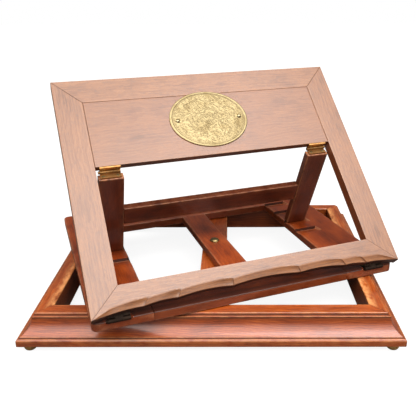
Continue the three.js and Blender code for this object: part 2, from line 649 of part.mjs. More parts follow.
function buildPanel() {
  const panel = new THREE.Group();
  add(panel, 'panel_bottom_rail', bottomRail(), panelWood);

  const plain = [
    new THREE.Vector2(0, 0),
    new THREE.Vector2(PANEL_RAIL_WIDTH, 0),
    new THREE.Vector2(PANEL_RAIL_WIDTH, PANEL_THICKNESS),
    new THREE.Vector2(0, PANEL_THICKNESS),
  ];
  const sides = [
    ['panel_right_stile', PANEL_LENGTH, PANEL_WIDTH / 2, PANEL_LENGTH / 2, 90],
    ['panel_top_rail', PANEL_WIDTH, 0, PANEL_LENGTH, 180],
    ['panel_left_stile', PANEL_LENGTH, -PANEL_WIDTH / 2, PANEL_LENGTH / 2, 270],
  ];
  for (const [name, length, x, y, turn] of sides) {
    const rail = add(panel, name, mitredRail([plain, plain], length), panelWood);
    rail.position.set(x, y, 0);
    rail.rotation.z = THREE.MathUtils.degToRad(turn);
  }

  const boardSide = PANEL_WIDTH / 2 - PANEL_RAIL_WIDTH - PLAY;
  const boardTop = PANEL_LENGTH - PANEL_RAIL_WIDTH - PLAY;
  const plainBoard = boxBetween(
    [-boardSide, WINDOW_TOP, PANEL_THICKNESS - BOARD_THICKNESS],
    [boardSide, boardTop, PANEL_THICKNESS],
  );
  const plaqueSeat = PANEL_THICKNESS + PLAY;
  const plaqueScrews = [-1, 1].map((side) => [
    PLAQUE_PLACE[0] + (side * PLAQUE_SCREW_SPACING) / 2,
    PLAQUE_PLACE[1],
    plaqueSeat + PLAQUE_THICKNESS + PLAY,
  ]);
  const leafScrews = [-LEG_MIDDLE, LEG_MIDDLE].flatMap((x) => (
    screwCutters(PROP_LEAF_WIDTH, STANDING_LEAF)
      .map((cutter) => cutter.translate(x, PROP_AXIS_PLACE, PROP_AXIS_HEIGHT))
  ));
  const boardHoles = plaqueScrews.map((place) => plaqueScrew(PIN_PLAY).translate(...place));
  add(panel, 'panel_board', cut(plainBoard, [...boardHoles, ...leafScrews]), boardWood);

  const oval = new THREE.Shape();
  oval.absellipse(0, 0, PLAQUE_WIDTH / 2, PLAQUE_LENGTH / 2, 0, Math.PI * 2);
  const plate = new THREE.ExtrudeGeometry(oval, {
    depth: PLAQUE_THICKNESS, bevelEnabled: false, curveSegments: 72,
  });
  plate.translate(...PLAQUE_PLACE, plaqueSeat);
  const plateHoles = plaqueScrews.map((place) => plaqueScrew(PIN_PLAY).translate(...place));
  add(panel, 'plaque', cut(plate, plateHoles), brass);
  ['left', 'right'].forEach((name, i) => {
    add(panel, `plaque_screw_${name}`, plaqueScrew(), brass).position.set(...plaqueScrews[i]);
  });

  for (const [name, side] of [['left', -1], ['right', 1]]) {
    addUpperLeaf(panel, `front_hinge_${name}_upper`, side * FRONT_HINGE_PLACE);
    addBoardLeaf(panel, name, side);
  }
  return panel;
}

/** A panel leaf lies over the hinge axis, so it is turned half round and its screws point up. */
function addUpperLeaf(group, name, x) {
  const flipped = new THREE.Group();
  flipped.rotation.z = Math.PI;
  flipped.position.x = x;
  group.add(flipped);
  addLeaf(flipped, name, FRONT_LEAF_WIDTH, MIDDLE_KNUCKLE, 0, Math.PI);
}

/** The leaf and pin of a prop hinge that belong to the board. */
function addBoardLeaf(panel, name, side) {
  const axis = new THREE.Group();
  axis.position.set(0, PROP_AXIS_PLACE, PROP_AXIS_HEIGHT);
  panel.add(axis);
  const x = side * LEG_MIDDLE;
  addLeaf(axis, `prop_hinge_${name}_board`, PROP_LEAF_WIDTH, OUTER_KNUCKLES, x, STANDING_LEAF);
  add(axis, `prop_hinge_${name}_pin`, hingePin(side), agedBrass).position.x = x;
}

/** A round-head screw that points down -Z, or the hole for it when it is grown by `play`. */
function plaqueScrew(play = 0) {
  const shank = PLAQUE_SCREW_RADIUS + play;
  if (play) {
    return turned([
      [0, -PLAQUE_SCREW_LENGTH - play],
      [shank, -PLAQUE_SCREW_LENGTH - play],
      [shank, CUT_OVER],
      [0, CUT_OVER],
    ]);
  }
  const dome = Array.from({ length: 6 }, (_, i) => {
    const angle = (i / 6) * (Math.PI / 2);
    return [PLAQUE_SCREW_HEAD * Math.cos(angle), PLAQUE_SCREW_HEAD * PLAQUE_SCREW_DOME * Math.sin(angle)];
  });
  return turned([
    [0, -PLAQUE_SCREW_LENGTH],
    [shank, -PLAQUE_SCREW_LENGTH],
    [shank, 0],
    ...dome,
    [0, PLAQUE_SCREW_HEAD * PLAQUE_SCREW_DOME],
  ]);
}

// ---------------------------------------------------------------- prop

/** The prop with its hinge axis on X and its legs down -Y, as it lies when it is folded. */
function buildProp() {
  const prop = new THREE.Group();
  const back = PROP_HINGE_DROP;
  const front = LEG_FACE;
  const railStart = -CROSS_RAIL_START - CROSS_RAIL_HEIGHT;
  const railMiddle = -CROSS_RAIL_START - CROSS_RAIL_HEIGHT / 2;
  const tenon = (reach, play) => boxBetween(
    [-reach, railMiddle - CROSS_TENON_HEIGHT / 2 - play, (front + back - CROSS_TENON_THICKNESS) / 2 - play],
    [reach, railMiddle + CROSS_TENON_HEIGHT / 2 + play, (front + back + CROSS_TENON_THICKNESS) / 2 + play],
  );
  for (const [name, side] of [['left', -1], ['right', 1]]) {
    const edges = [side * LEG_INSIDE, side * LEG_OUTSIDE].sort((a, b) => a - b);
    const plainLeg = boxBetween([edges[0], -LEG_REACH, back], [edges[1], -HINGE_SET_BACK, front]);
    const leafScrews = screwCutters(PROP_LEAF_WIDTH, STANDING_LEAF).map((cutter) => (
      cutter.rotateZ(Math.PI).translate(side * LEG_MIDDLE, 0, 0)
    ));
    const mortise = tenon(LEG_OUTSIDE + CUT_OVER, PLAY);
    add(prop, `prop_${name}_leg`, cut(plainLeg, [mortise, ...leafScrews]), propWood);
    const leaf = new THREE.Group();
    leaf.rotation.z = Math.PI;
    leaf.position.x = side * LEG_MIDDLE;
    prop.add(leaf);
    addLeaf(leaf, `prop_hinge_${name}_leg`, PROP_LEAF_WIDTH, MIDDLE_KNUCKLE, 0, STANDING_LEAF);
  }
  const body = boxBetween(
    [-LEG_INSIDE + PLAY, railStart, back],
    [LEG_INSIDE - PLAY, -CROSS_RAIL_START, front - CROSS_RAIL_RECESS],
  );
  add(prop, 'prop_cross_rail', join([body, tenon(LEG_OUTSIDE - PLAY, 0)]), propWood);
  return prop;
}

// ---------------------------------------------------------------- assembly

const stand = new THREE.Group();
const base = buildBase();
const { turntable, hinges } = buildTurntable();
const panel = buildPanel();
const prop = buildProp();

turntable.rotation.z = THREE.MathUtils.degToRad(SWIVEL_ANGLE);
panel.rotation.x = PANEL_TILT;
prop.rotation.x = PROP_TILT;
prop.position.set(0, PROP_AXIS_PLACE, PROP_AXIS_HEIGHT);
stand.add(base, turntable);
hinges.add(panel);
panel.add(prop);

// The row's origin is the middle of the stand's footprint on the floor
stand.updateMatrixWorld(true);
const footprint = new THREE.Box3().setFromObject(stand, true).getCenter(new THREE.Vector3());
stand.position.set(-footprint.x, -footprint.y, 0);

export default stand;
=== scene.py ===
"""A turning, folding wooden album stand with brass fittings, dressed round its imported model.

Shapes are worked out in millimetres in each sub-assembly's own frame and laid in the row frame in metres.
"""

from __future__ import annotations

import json
import logging
import math
from dataclasses import dataclass, field
from enum import Enum

import bmesh
import bpy
import numpy as np
from mathutils import Euler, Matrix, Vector

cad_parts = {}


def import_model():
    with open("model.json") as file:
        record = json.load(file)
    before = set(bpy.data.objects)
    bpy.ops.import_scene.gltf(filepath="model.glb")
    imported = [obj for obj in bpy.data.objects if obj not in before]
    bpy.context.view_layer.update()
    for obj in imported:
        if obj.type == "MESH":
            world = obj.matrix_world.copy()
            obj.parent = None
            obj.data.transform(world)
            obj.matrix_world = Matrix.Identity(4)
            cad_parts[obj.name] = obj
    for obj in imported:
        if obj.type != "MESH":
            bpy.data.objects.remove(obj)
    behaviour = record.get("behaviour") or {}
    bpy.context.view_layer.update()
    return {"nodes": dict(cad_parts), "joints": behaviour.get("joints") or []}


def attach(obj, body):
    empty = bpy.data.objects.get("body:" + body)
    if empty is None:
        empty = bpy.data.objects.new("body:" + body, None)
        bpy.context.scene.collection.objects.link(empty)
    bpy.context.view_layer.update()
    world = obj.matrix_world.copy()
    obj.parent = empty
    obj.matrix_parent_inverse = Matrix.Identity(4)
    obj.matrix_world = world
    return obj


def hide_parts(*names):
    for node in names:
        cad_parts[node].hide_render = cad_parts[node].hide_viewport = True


LOG = logging.getLogger("stand")
METRES = 0.001
GRAIN_UNIT = 0.1  # grain coordinates are kept in centimetres
SMOOTH_ANGLE = math.radians(32)
SAME_POINT = 1e-3  # millimetres, the step under which two points of a section are one
DRAWS = np.random.default_rng(41)
GUARD = 1.1  # how far a guard line lies from a rounding, so that flat faces shade flat
PLAY = 0.3  # between pieces that touch
SET_BACK = 9.3  # of the turntable's middle behind the bolt
HINGE_PLACE = 163.0  # of a front hinge to each side of the middle
PANEL_ANGLE = 43.8  # how steeply the panel leans at rest
PROP_ANGLE = 70.2  # how far the prop is swung out of the panel at rest

Array = np.ndarray
Colour = tuple[float, float, float, float]


# ---------------------------------------------------------------- names and places


class Body(Enum):
    """The four bodies of the stand."""

    BASE = "base"
    TURNTABLE = "turntable"
    PANEL = "panel"
    PROP = "prop"


class Slot(Enum):
    """The material slots of the record."""

    POLISHED_WOOD = "polished_wood"
    PANEL_WOOD = "panel_wood"
    BOARD_WOOD = "board_wood"
    PROP_WOOD = "prop_wood"
    BRASS = "brass"
    AGED_BRASS = "aged_brass"


class Side(Enum):
    """The two sides of the stand, as signs along X."""

    LEFT = -1
    RIGHT = 1

    @property
    def word(self) -> str:
        """The side's name in a piece's name."""
        return self.name.lower()


def moved(x: float = 0.0, y: float = 0.0, z: float = 0.0) -> Array:
    """A place shifted by x, y and z millimetres."""
    place = np.eye(4)
    place[:3, 3] = x, y, z
    return place


def turned(axis: str, degrees: float) -> Array:
    """A place turned by some degrees about one axis."""
    place = np.eye(4)
    place[:3, :3] = np.array(Euler([math.radians(degrees) * (a == axis) for a in "XYZ"]).to_matrix())
    return place


def steps_between(low: float, high: float, spacing: float) -> Array:
    """Even steps from low to high that are no further apart than the spacing."""
    return np.linspace(low, high, max(2, math.ceil(abs(high - low) / spacing) + 1))


def smooth(low: float, high: float, value: Array) -> Array:
    """0 below low, 1 above high, and a smooth S curve between them."""
    share = np.clip((value - low) / (high - low), 0, 1)
    return share * share * (3 - 2 * share)


def quarter_round(distance: Array, radius: float) -> Array:
    """How far a rounded edge lies under its flat: r * (1 - sqrt(1 - (1 - d/r)**2)) at d in from the edge."""
    share = 1 - np.minimum(distance / radius, 1)
    return radius * (1 - np.sqrt(np.clip(1 - share**2, 0, 1)))


# ---------------------------------------------------------------- numpy noise


def value_noise(x: Array, y: Array, seed: int) -> Array:
    """Smooth noise from -1 to 1: random values on whole numbers, blended by an S curve between them.

    Args:
        x, y: places on the plane.
        seed: which noise.

    Returns:
        The noise at each place.
    """
    column, row = np.floor(x).astype(np.int64), np.floor(y).astype(np.int64)
    across, up = x - column, y - row
    across, up = across * across * (3 - 2 * across), up * up * (3 - 2 * up)

    def corner(i: Array, j: Array) -> Array:
        """A random value for one whole-number corner."""
        mixed = np.sin(i * 127.1 + j * 311.7 + seed * 74.7) * 43758.5453
        return (mixed - np.floor(mixed)) * 2 - 1

    low = corner(column, row) * (1 - across) + corner(column + 1, row) * across
    high = corner(column, row + 1) * (1 - across) + corner(column + 1, row + 1) * across
    return low * (1 - up) + high * up


# ---------------------------------------------------------------- sections


def arc_points(start: tuple[float, float], end: tuple[float, float], sag: float, steps: int) -> Array:
    """Points of a round arc from start to end that bulges by sag to the right of its way.

    The radius is (h*h + sag*sag) / (2*sag), with h half the chord, and the points turn evenly about its centre.
    """
    first, last = np.array(start, float), np.array(end, float)
    chord = last - first
    half = np.hypot(*chord) / 2
    radius = (half * half + sag * sag) / (2 * sag)
    normal = np.array([chord[1], -chord[0]]) / (2 * half)
    centre = (first + last) / 2 + normal * (sag - radius)
    angles = np.linspace(0, 2 * math.asin(half / radius), steps + 1)
    arm = first - centre
    cos, sin = np.cos(angles), np.sin(angles)
    return centre + np.stack([arm[0] * cos - arm[1] * sin, arm[0] * sin + arm[1] * cos], 1)


def section_of(corners: list[tuple[float, float, float]], spacing: float = 7.0, guard: float = GUARD) -> Array:
    """A closed section whose corners are rounded and whose long edges carry extra points.

    A rounding starts r / tan(half the corner's opening) from its corner, and its points lie on the curve
    (1-t)**2 * start + 2*t*(1-t) * corner + t**2 * end.

    Args:
        corners: y, z and rounding radius of each corner, in order.
        spacing: the widest gap between points on an edge.
        guard: how far from a rounding its guard point lies.

    Returns:
        An array of y, z points.
    """
    table = np.array(corners, float)
    places, radii = table[:, :2], table[:, 2]
    spans = np.roll(places, -1, 0) - places
    lengths = [np.hypot(*span) for span in spans]
    ways = [span / length for span, length in zip(spans, lengths)]
    backs = [-way for way in [ways[-1], *ways[:-1]]]
    cuts = [
        radius / math.tan(math.acos(float(np.clip(back @ way, -1, 1))) / 2) if radius else 0.0
        for radius, back, way in zip(radii, backs, ways)
    ]
    shares = np.linspace(0, 1, 5)[:, None]
    points: list[Array] = []
    for i, (place, back, way) in enumerate(zip(places, backs, ways)):
        if radii[i]:
            start, end = place + back * cuts[i], place + way * cuts[i]
            points.extend((1 - shares) ** 2 * start + 2 * shares * (1 - shares) * place + shares**2 * end)
        else:
            points.append(place)
        low, high = cuts[i] + guard, lengths[i] - cuts[(i + 1) % len(cuts)] - guard
        if high > low + guard:
            points.extend(place + way * share for share in steps_between(low, high, spacing))
    section = np.array(points)
    step = np.hypot(*(section - np.roll(section, 1, 0)).T)
    return section[step > SAME_POINT]


def section_marks(section: Array) -> tuple[Array, Array]:
    """How worn and how darkened each point of a closed section is, from the section's curvature.

    Curvature is the turn at a point over the mean length of its two edges. A tight outward bend is an arris,
    which wears, and a tight inward bend is a quirk, which is darkened. Both fade by exp(-distance / fading).
    """
    fading, shortest = 1.0, 0.25
    gentle, tight = 0.1, 0.5
    ahead = np.roll(section, -1, 0) - section
    behind = section - np.roll(section, 1, 0)
    cross = behind[:, 0] * ahead[:, 1] - behind[:, 1] * ahead[:, 0]
    turn = np.arctan2(cross, (behind * ahead).sum(1))
    reach = np.maximum((np.hypot(*ahead.T) + np.hypot(*behind.T)) / 2, shortest)
    curvature = turn / reach * np.sign(turn.sum())
    run = np.concatenate([[0], np.cumsum(np.hypot(*ahead.T))])
    gap = np.abs(run[:-1, None] - run[None, :-1])
    fade = np.exp(-np.minimum(gap, run[-1] - gap) / fading)
    worn = (smooth(gentle, tight, curvature)[None, :] * fade).max(1)
    grime_and_shade = (smooth(gentle, tight, -curvature)[None, :] * fade).max(1)
    return worn, grime_and_shade


def inset(section: Array, depth: Array) -> Array:
    """A closed section drawn in by some depths along its inward normals, one copy for each depth."""
    ahead = np.roll(section, -1, 0) - section
    behind = section - np.roll(section, 1, 0)
    way = ahead / np.hypot(*ahead.T)[:, None] + behind / np.hypot(*behind.T)[:, None]
    way = way / np.hypot(*way.T)[:, None]
    area = (section[:, 0] * np.roll(section[:, 1], -1) - np.roll(section[:, 0], -1) * section[:, 1]).sum()
    normal = np.stack([-way[:, 1], way[:, 0]], 1) * np.sign(area)
    return section[None] + normal[None] * np.atleast_1d(depth)[:, None, None]


# ---------------------------------------------------------------- skins


@dataclass
class Skin:
    """A closed surface in its own frame: points in millimetres, faces, and two marks per point."""

    points: Array
    faces: list[list[int]]
    worn: Array
    grime_and_shade: Array

    @classmethod
    def of_rings(cls, rings: Array, worn: Array | float = 0.0, grime_and_shade: Array | float = 0.0) -> "Skin":
        """A tube through rings of equal count, closed by a face at each end and turned outwards.

        Args:
            rings: an array of rings, points and coordinates.
            worn, grimy: marks for each ring and point, or one for all.

        Returns:
            The closed skin.
        """
        count, around = rings.shape[:2]
        ring, point = np.meshgrid(np.arange(count - 1), np.arange(around), indexing="ij")
        following = (point + 1) % around
        near, far = ring * around, (ring + 1) * around
        quads = np.stack([near + point, near + following, far + following, far + point], -1).reshape(-1, 4)
        caps = [np.arange(around)[::-1], np.arange(around) + (count - 1) * around]
        points = rings.reshape(-1, 3)
        a, b, c, d = (points[quads[:, k]] for k in range(4))
        size = (np.einsum("ij,ij->i", a, np.cross(b, c)) + np.einsum("ij,ij->i", a, np.cross(c, d))).sum()
        for cap in caps:
            fan = points[cap]
            size += np.einsum("j,ij->i", fan[0], np.cross(fan[1:-1], fan[2:])).sum()
        if size < 0:
            quads = quads[:, ::-1]
            caps = [cap[::-1] for cap in caps]
        marks = [np.broadcast_to(mark, rings.shape[:2]).reshape(-1).copy() for mark in (worn, grime_and_shade)]
        return cls(points, quads.tolist() + [cap.tolist() for cap in caps], *marks)

    def placed(self, place: Array) -> "Skin":
        """The skin laid at a place."""
        points = self.points @ place[:3, :3].T + place[:3, 3]
        return Skin(points, self.faces, self.worn, self.grime_and_shade)

    def joined(self, *others: "Skin") -> "Skin":
        """The skin with other closed skins added to it."""
        skins = [self, *others]
        starts = np.cumsum([0] + [len(skin.points) for skin in skins[:-1]])
        faces = [[int(start) + i for i in face] for start, skin in zip(starts, skins) for face in skin.faces]
        return Skin(
            np.concatenate([skin.points for skin in skins]),
            faces,
            np.concatenate([skin.worn for skin in skins]),
            np.concatenate([skin.grime_and_shade for skin in skins]),
        )


def carried(section: Array, low: Array | float, high: Array | float, spacing: float = 6.0,
            soften: float = 0.6, joint: bool = False) -> Skin:
    """A section carried along X, its two ends softened by a quarter round.

    Args:
        section: y, z points.
        low, high: where each point's line starts and ends along X, so that a slope in y makes a mitre.
        spacing: the widest gap between rings.
        soften: radius of the round at both ends.
        joint: whether the ends meet other pieces, and so are darkened as joints where free ends wear.

    Returns:
        The closed skin, worn at its arrises.
    """
    low, high = np.broadcast_to(low, len(section)), np.broadcast_to(high, len(section))
    angles = np.linspace(0, math.pi / 2, 4)
    depth = np.append(soften * (1 - np.sin(angles)), 0.0)
    along = np.append(soften * (1 - np.cos(angles)), soften + GUARD)
    shortest = float((high - low).min())
    middle = steps_between(0, 1, spacing / shortest)[1:-1]
    depths = np.concatenate([depth, np.zeros(len(middle)), depth[::-1]])
    x_start = low[None] + along[:, None]
    x_middle = low[None] + (high - low)[None] * middle[:, None]
    x_end = high[None] - along[::-1, None]
    x = np.concatenate([x_start, x_middle, x_end])
    flat = inset(section, depths)
    worn, grime_and_shade = section_marks(section)
    rounded = smooth(-0.2, 1.0, depth / soften)
    ends = np.concatenate([rounded, np.zeros(len(middle)), rounded[::-1]])[:, None]
    rings = np.concatenate([x[..., None], flat], -1)
    if joint:
        return Skin.of_rings(rings, worn[None] * (1 - ends), np.maximum(grime_and_shade[None], ends * 0.7))
    return Skin.of_rings(rings, np.maximum(worn[None], ends), grime_and_shade[None])


def plank(size: tuple[float, float, float], arris: float = 0.9, spacing: float = 8.0,
          end: float | None = None) -> Skin:
    """A plank about the origin, its grain along X, its arrises rounded. With end set, its ends are joints."""
    length, width, thickness = size
    y, z = width / 2, thickness / 2
    section = section_of([(-y, -z, arris), (y, -z, arris), (y, z, arris), (-y, z, arris)])
    return carried(section, -length / 2, length / 2, spacing, arris if end is None else end, end is not None)


def tenoned(size: tuple[float, float, float], tenon: tuple[float, float, float], arris: float) -> Skin:
    """A plank about the origin with a tenon at each end."""
    ends = [plank(tenon, 0.3).placed(moved(end * (size[0] + tenon[0]) / 2)) for end in (-1, 1)]
    return plank(size, arris).joined(*ends)


def lathe(profile: Array, sides: int = 48) -> Skin:
    """A turned piece about Z: each radius and height of the profile makes one ring, dirtier where it bends."""
    angles = np.linspace(0, 2 * math.pi, sides, endpoint=False)
    radius, height = np.maximum(profile[:, :1], 0.02), profile[:, 1:]
    rings = np.stack([radius * np.cos(angles), radius * np.sin(angles), height + 0 * angles], -1)
    turn = np.gradient(np.arctan2(np.gradient(profile[:, 1]), np.gradient(profile[:, 0])))
    grime_and_shade = np.clip(np.abs(turn) / 2, 0, 1) * 0.5
    return Skin.of_rings(rings, 0.0, grime_and_shade[:, None])


def bore(radius: float, reach: float) -> Skin:
    """A round cutter about Z that goes up and down by its reach."""
    return lathe(np.array([[radius, -reach], [radius, reach]]))


def ring_skin(section: Array, sides: int = 48) -> Skin:
    """A closed ring about Z with the given radius and height section, as a grid that wraps both ways."""
    angles = np.linspace(0, 2 * math.pi, sides, endpoint=False)
    grid = np.stack([np.outer(np.cos(angles), section[:, 0]), np.outer(np.sin(angles), section[:, 0]),
                     np.broadcast_to(section[:, 1], (sides, len(section)))], -1)
    count = sides * len(section)
    near = np.arange(count).reshape(sides, len(section))
    far = np.roll(near, -1, 0)
    quads = np.stack([near, far, np.roll(far, -1, 1), np.roll(near, -1, 1)], -1).reshape(-1, 4)
    return Skin(grid.reshape(-1, 3), quads.tolist(), np.zeros(count), np.zeros(count))


def box_skin(low: tuple[float, float, float], high: tuple[float, float, float]) -> Skin:
    """A plain closed box between two corners, used as a cutter."""
    (x0, y0, z0), (x1, y1, z1) = low, high
    ring = [(y0, z0), (y1, z0), (y1, z1), (y0, z1)]
    return Skin.of_rings(np.array([[(x, *corner) for corner in ring] for x in (x0, x1)], float))


def screw_skin(head: float, dome: float, sink: float, shank: float, length: float, slot: float) -> Skin:
    """A slotted screw that points down -Z.

    The head's top is a square grid pressed into a disc, x*sqrt(1 - y*y/2) and y*sqrt(1 - x*x/2), which rises by
    dome*(1 - r*r) and drops in the slot. Rings carry its rim down to the shank.

    Args:
        head, dome, sink: the head's radius, its height over the seat and its depth under the seat.
        shank, length: the shank's radius and the screw's length under the seat.
        slot: half the slot's width.

    Returns:
        The closed skin.
    """
    edge = slot / head
    half = np.array([0, edge * 0.85, edge * 1.05, 0.3, 0.5, 0.7, 0.86, 0.95, 1.0])
    lines = np.concatenate([-half[:0:-1], half])
    u, v = np.meshgrid(lines, lines, indexing="ij")
    x, y = u * np.sqrt(1 - v * v / 2), v * np.sqrt(1 - u * u / 2)
    in_slot = 1 - smooth(edge * 0.85, edge * 1.05, np.abs(x))
    z = dome * (1 - x * x - y * y) - in_slot * (0.5 + dome * 0.5) * smooth(1.05, 0.8, np.hypot(x, y))
    grid = np.stack([x * head, y * head, z], -1)
    n = len(lines)
    index = np.arange(n * n).reshape(n, n)
    quads = np.stack([index[:-1, :-1], index[1:, :-1], index[1:, 1:], index[:-1, 1:]], -1).reshape(-1, 4)
    rim = np.concatenate([index[:-1, 0], index[-1, :-1], index[:0:-1, -1], index[0, :0:-1]])
    neck = shank / head
    levels = [(1.0, -sink * 0.25), (neck, -max(sink, 0.4)), (neck, 0.8 - length), (0.1, -length)]
    rim_points = grid.reshape(-1, 3)[rim]
    rings = [rim_points * [scale, scale, 0] + [0, 0, height] for scale, height in levels]
    points = np.concatenate([grid.reshape(-1, 3), *rings])
    around = len(rim)
    starts = [n * n + k * around for k in range(len(levels))]
    upper = [rim] + [np.arange(start, start + around) for start in starts]
    sides = [np.stack([a, np.roll(a, -1), np.roll(b, -1), b], -1) for a, b in zip(upper[:-1], upper[1:])]
    faces = np.concatenate([quads, *[side[:, ::-1] for side in sides]]).tolist() + [upper[-1][::-1].tolist()]
    grime_and_shade = np.concatenate([in_slot.reshape(-1) * 0.9, np.zeros(around * len(levels))])
    return Skin(points, faces, np.zeros(len(points)), grime_and_shade)


# ---------------------------------------------------------------- shader expressions


@dataclass(frozen=True)
class Signal:
    """A shader socket that takes part in Python sums."""

    bench: "NodeBench"
    socket: bpy.types.NodeSocket

    def _sum(self, operation: str, first: "Signal | float", second: "Signal | float") -> "Signal":
        """One Math node over two numbers or signals."""
        node = self.bench.node("ShaderNodeMath", {"operation": operation}, {0: first, 1: second})
        return Signal(self.bench, node.outputs[0])

    def __add__(self, other: "Signal | float") -> "Signal":
        """The sum."""
        return self._sum("ADD", self, other)

    def __sub__(self, other: "Signal | float") -> "Signal":
        """The difference."""
        return self._sum("SUBTRACT", self, other)

    def __rsub__(self, other: float) -> "Signal":
        """A number less this signal."""
        return self._sum("SUBTRACT", other, self)

    def __mul__(self, other: "Signal | float") -> "Signal":
        """The product."""
        return self._sum("MULTIPLY", self, other)

    def __truediv__(self, other: "Signal | float") -> "Signal":
        """The quotient."""
        return self._sum("DIVIDE", self, other)

    def __pow__(self, other: float) -> "Signal":
        """The power."""
        return self._sum("POWER", self, other)

    __radd__, __rmul__ = __add__, __mul__

    def fraction(self) -> "Signal":
        """What is left over the last whole number."""
        return self._sum("FRACT", self, 0.0)

    def most(self, other: "Signal | float") -> "Signal":
        """The larger of the two."""
        return self._sum("MAXIMUM", self, other)

    def between(self, low: float, high: float) -> "Signal":
        """0 below low, 1 above high, smooth between them."""
        inputs = {"Value": self, "From Min": low, "From Max": high}
        node = self.bench.node("ShaderNodeMapRange", {"interpolation_type": "SMOOTHSTEP"}, inputs)
        return Signal(self.bench, node.outputs[0])


class NodeBench:
    """Makes the nodes of one material or world."""

    def __init__(self, tree: bpy.types.NodeTree) -> None:
        """Clears the tree and keeps it."""
        self.tree = tree
        tree.nodes.clear()

    def node(self, kind: str, settings: dict, inputs: dict) -> bpy.types.Node:
        """One node of any kind.

        Args:
            kind: the node's type name.
            settings: the node's own properties, set first.
            inputs: values, signals or sockets by input name or number.

        Returns:
            The node.
        """
        made = self.tree.nodes.new(kind)
        for name, value in settings.items():
            setattr(made, name, value)
        for key, value in inputs.items():
            if isinstance(value, Signal):
                value = value.socket
            if isinstance(value, bpy.types.NodeSocket):
                self.tree.links.new(value, made.inputs[key])
            else:
                made.inputs[key].default_value = value
        return made

    def attribute(self, name: str) -> Signal:
        """A number that each point of the piece carries."""
        return Signal(self, self.node("ShaderNodeAttribute", {"attribute_name": name}, {}).outputs["Fac"])

    def stretched(self, vector: bpy.types.NodeSocket,
                  scale: tuple[float, float, float]) -> bpy.types.NodeSocket:
        """Coordinates times a scale on each axis."""
        made = self.node("ShaderNodeVectorMath", {"operation": "MULTIPLY"}, {0: vector, 1: scale})
        return made.outputs[0]

    def noise(self, vector: bpy.types.NodeSocket, scale: tuple[float, float, float], detail: float = 2.0,
              roughness: float = 0.5, distortion: float = 0.0) -> Signal:
        """Noise on stretched coordinates, with features of one unit over the scale."""
        inputs = {"Vector": self.stretched(vector, scale), "Scale": 1.0, "Detail": detail,
                  "Roughness": roughness, "Distortion": distortion}
        return Signal(self, self.node("ShaderNodeTexNoise", {}, inputs).outputs[0])

    def mixed(self, share: Signal, first: Colour | Signal, second: Colour | Signal) -> Signal:
        """Two colours mixed by a share."""
        made = self.node("ShaderNodeMix", {"data_type": "RGBA"}, {0: share, 6: first, 7: second})
        return Signal(self, made.outputs[2])

    def ramp(self, share: Signal, stops: list[tuple[float, Colour]]) -> Signal:
        """A colour ramp."""
        made = self.node("ShaderNodeValToRGB", {}, {0: share})
        elements = made.color_ramp.elements
        while len(elements) < len(stops):
            elements.new(0.5)
        for element, (place, colour) in zip(elements, stops):
            element.position, element.color = place, colour
        return Signal(self, made.outputs[0])

    def bumped(self, height: Signal, strength: float, distance: float) -> bpy.types.NodeSocket:
        """A normal bumped by a height, its distance in metres."""
        inputs = {"Height": height, "Strength": strength, "Distance": distance}
        return self.node("ShaderNodeBump", {}, inputs).outputs["Normal"]


def paint(red: int, green: int, blue: int) -> Colour:
    """A linear colour from everyday 0 to 255 values."""
    shares = [value / 255 for value in (red, green, blue)]
    linear = [s / 12.92 if s <= 0.04045 else ((s + 0.055) / 1.055) ** 2.4 for s in shares]
    return linear[0], linear[1], linear[2], 1.0


# ---------------------------------------------------------------- finishes


@dataclass(frozen=True)
class Finish:
    """What a piece is made of and how it is treated."""

    name: str
    slot: Slot

    def material(self) -> bpy.types.Material:
        """The finish as a material, made once."""
        if self.name in bpy.data.materials:
            return bpy.data.materials[self.name]
        made = bpy.data.materials.new(self.name)
        made.use_nodes = True
        bench = NodeBench(made.node_tree)
        shader = bench.node("ShaderNodeBsdfPrincipled", {}, self.surface(bench))
        bench.node("ShaderNodeOutputMaterial", {}, {"Surface": shader.outputs[0]})
        return made

    def surface(self, bench: NodeBench) -> dict:
        """The values and signals of the shader's inputs."""
        raise NotImplementedError


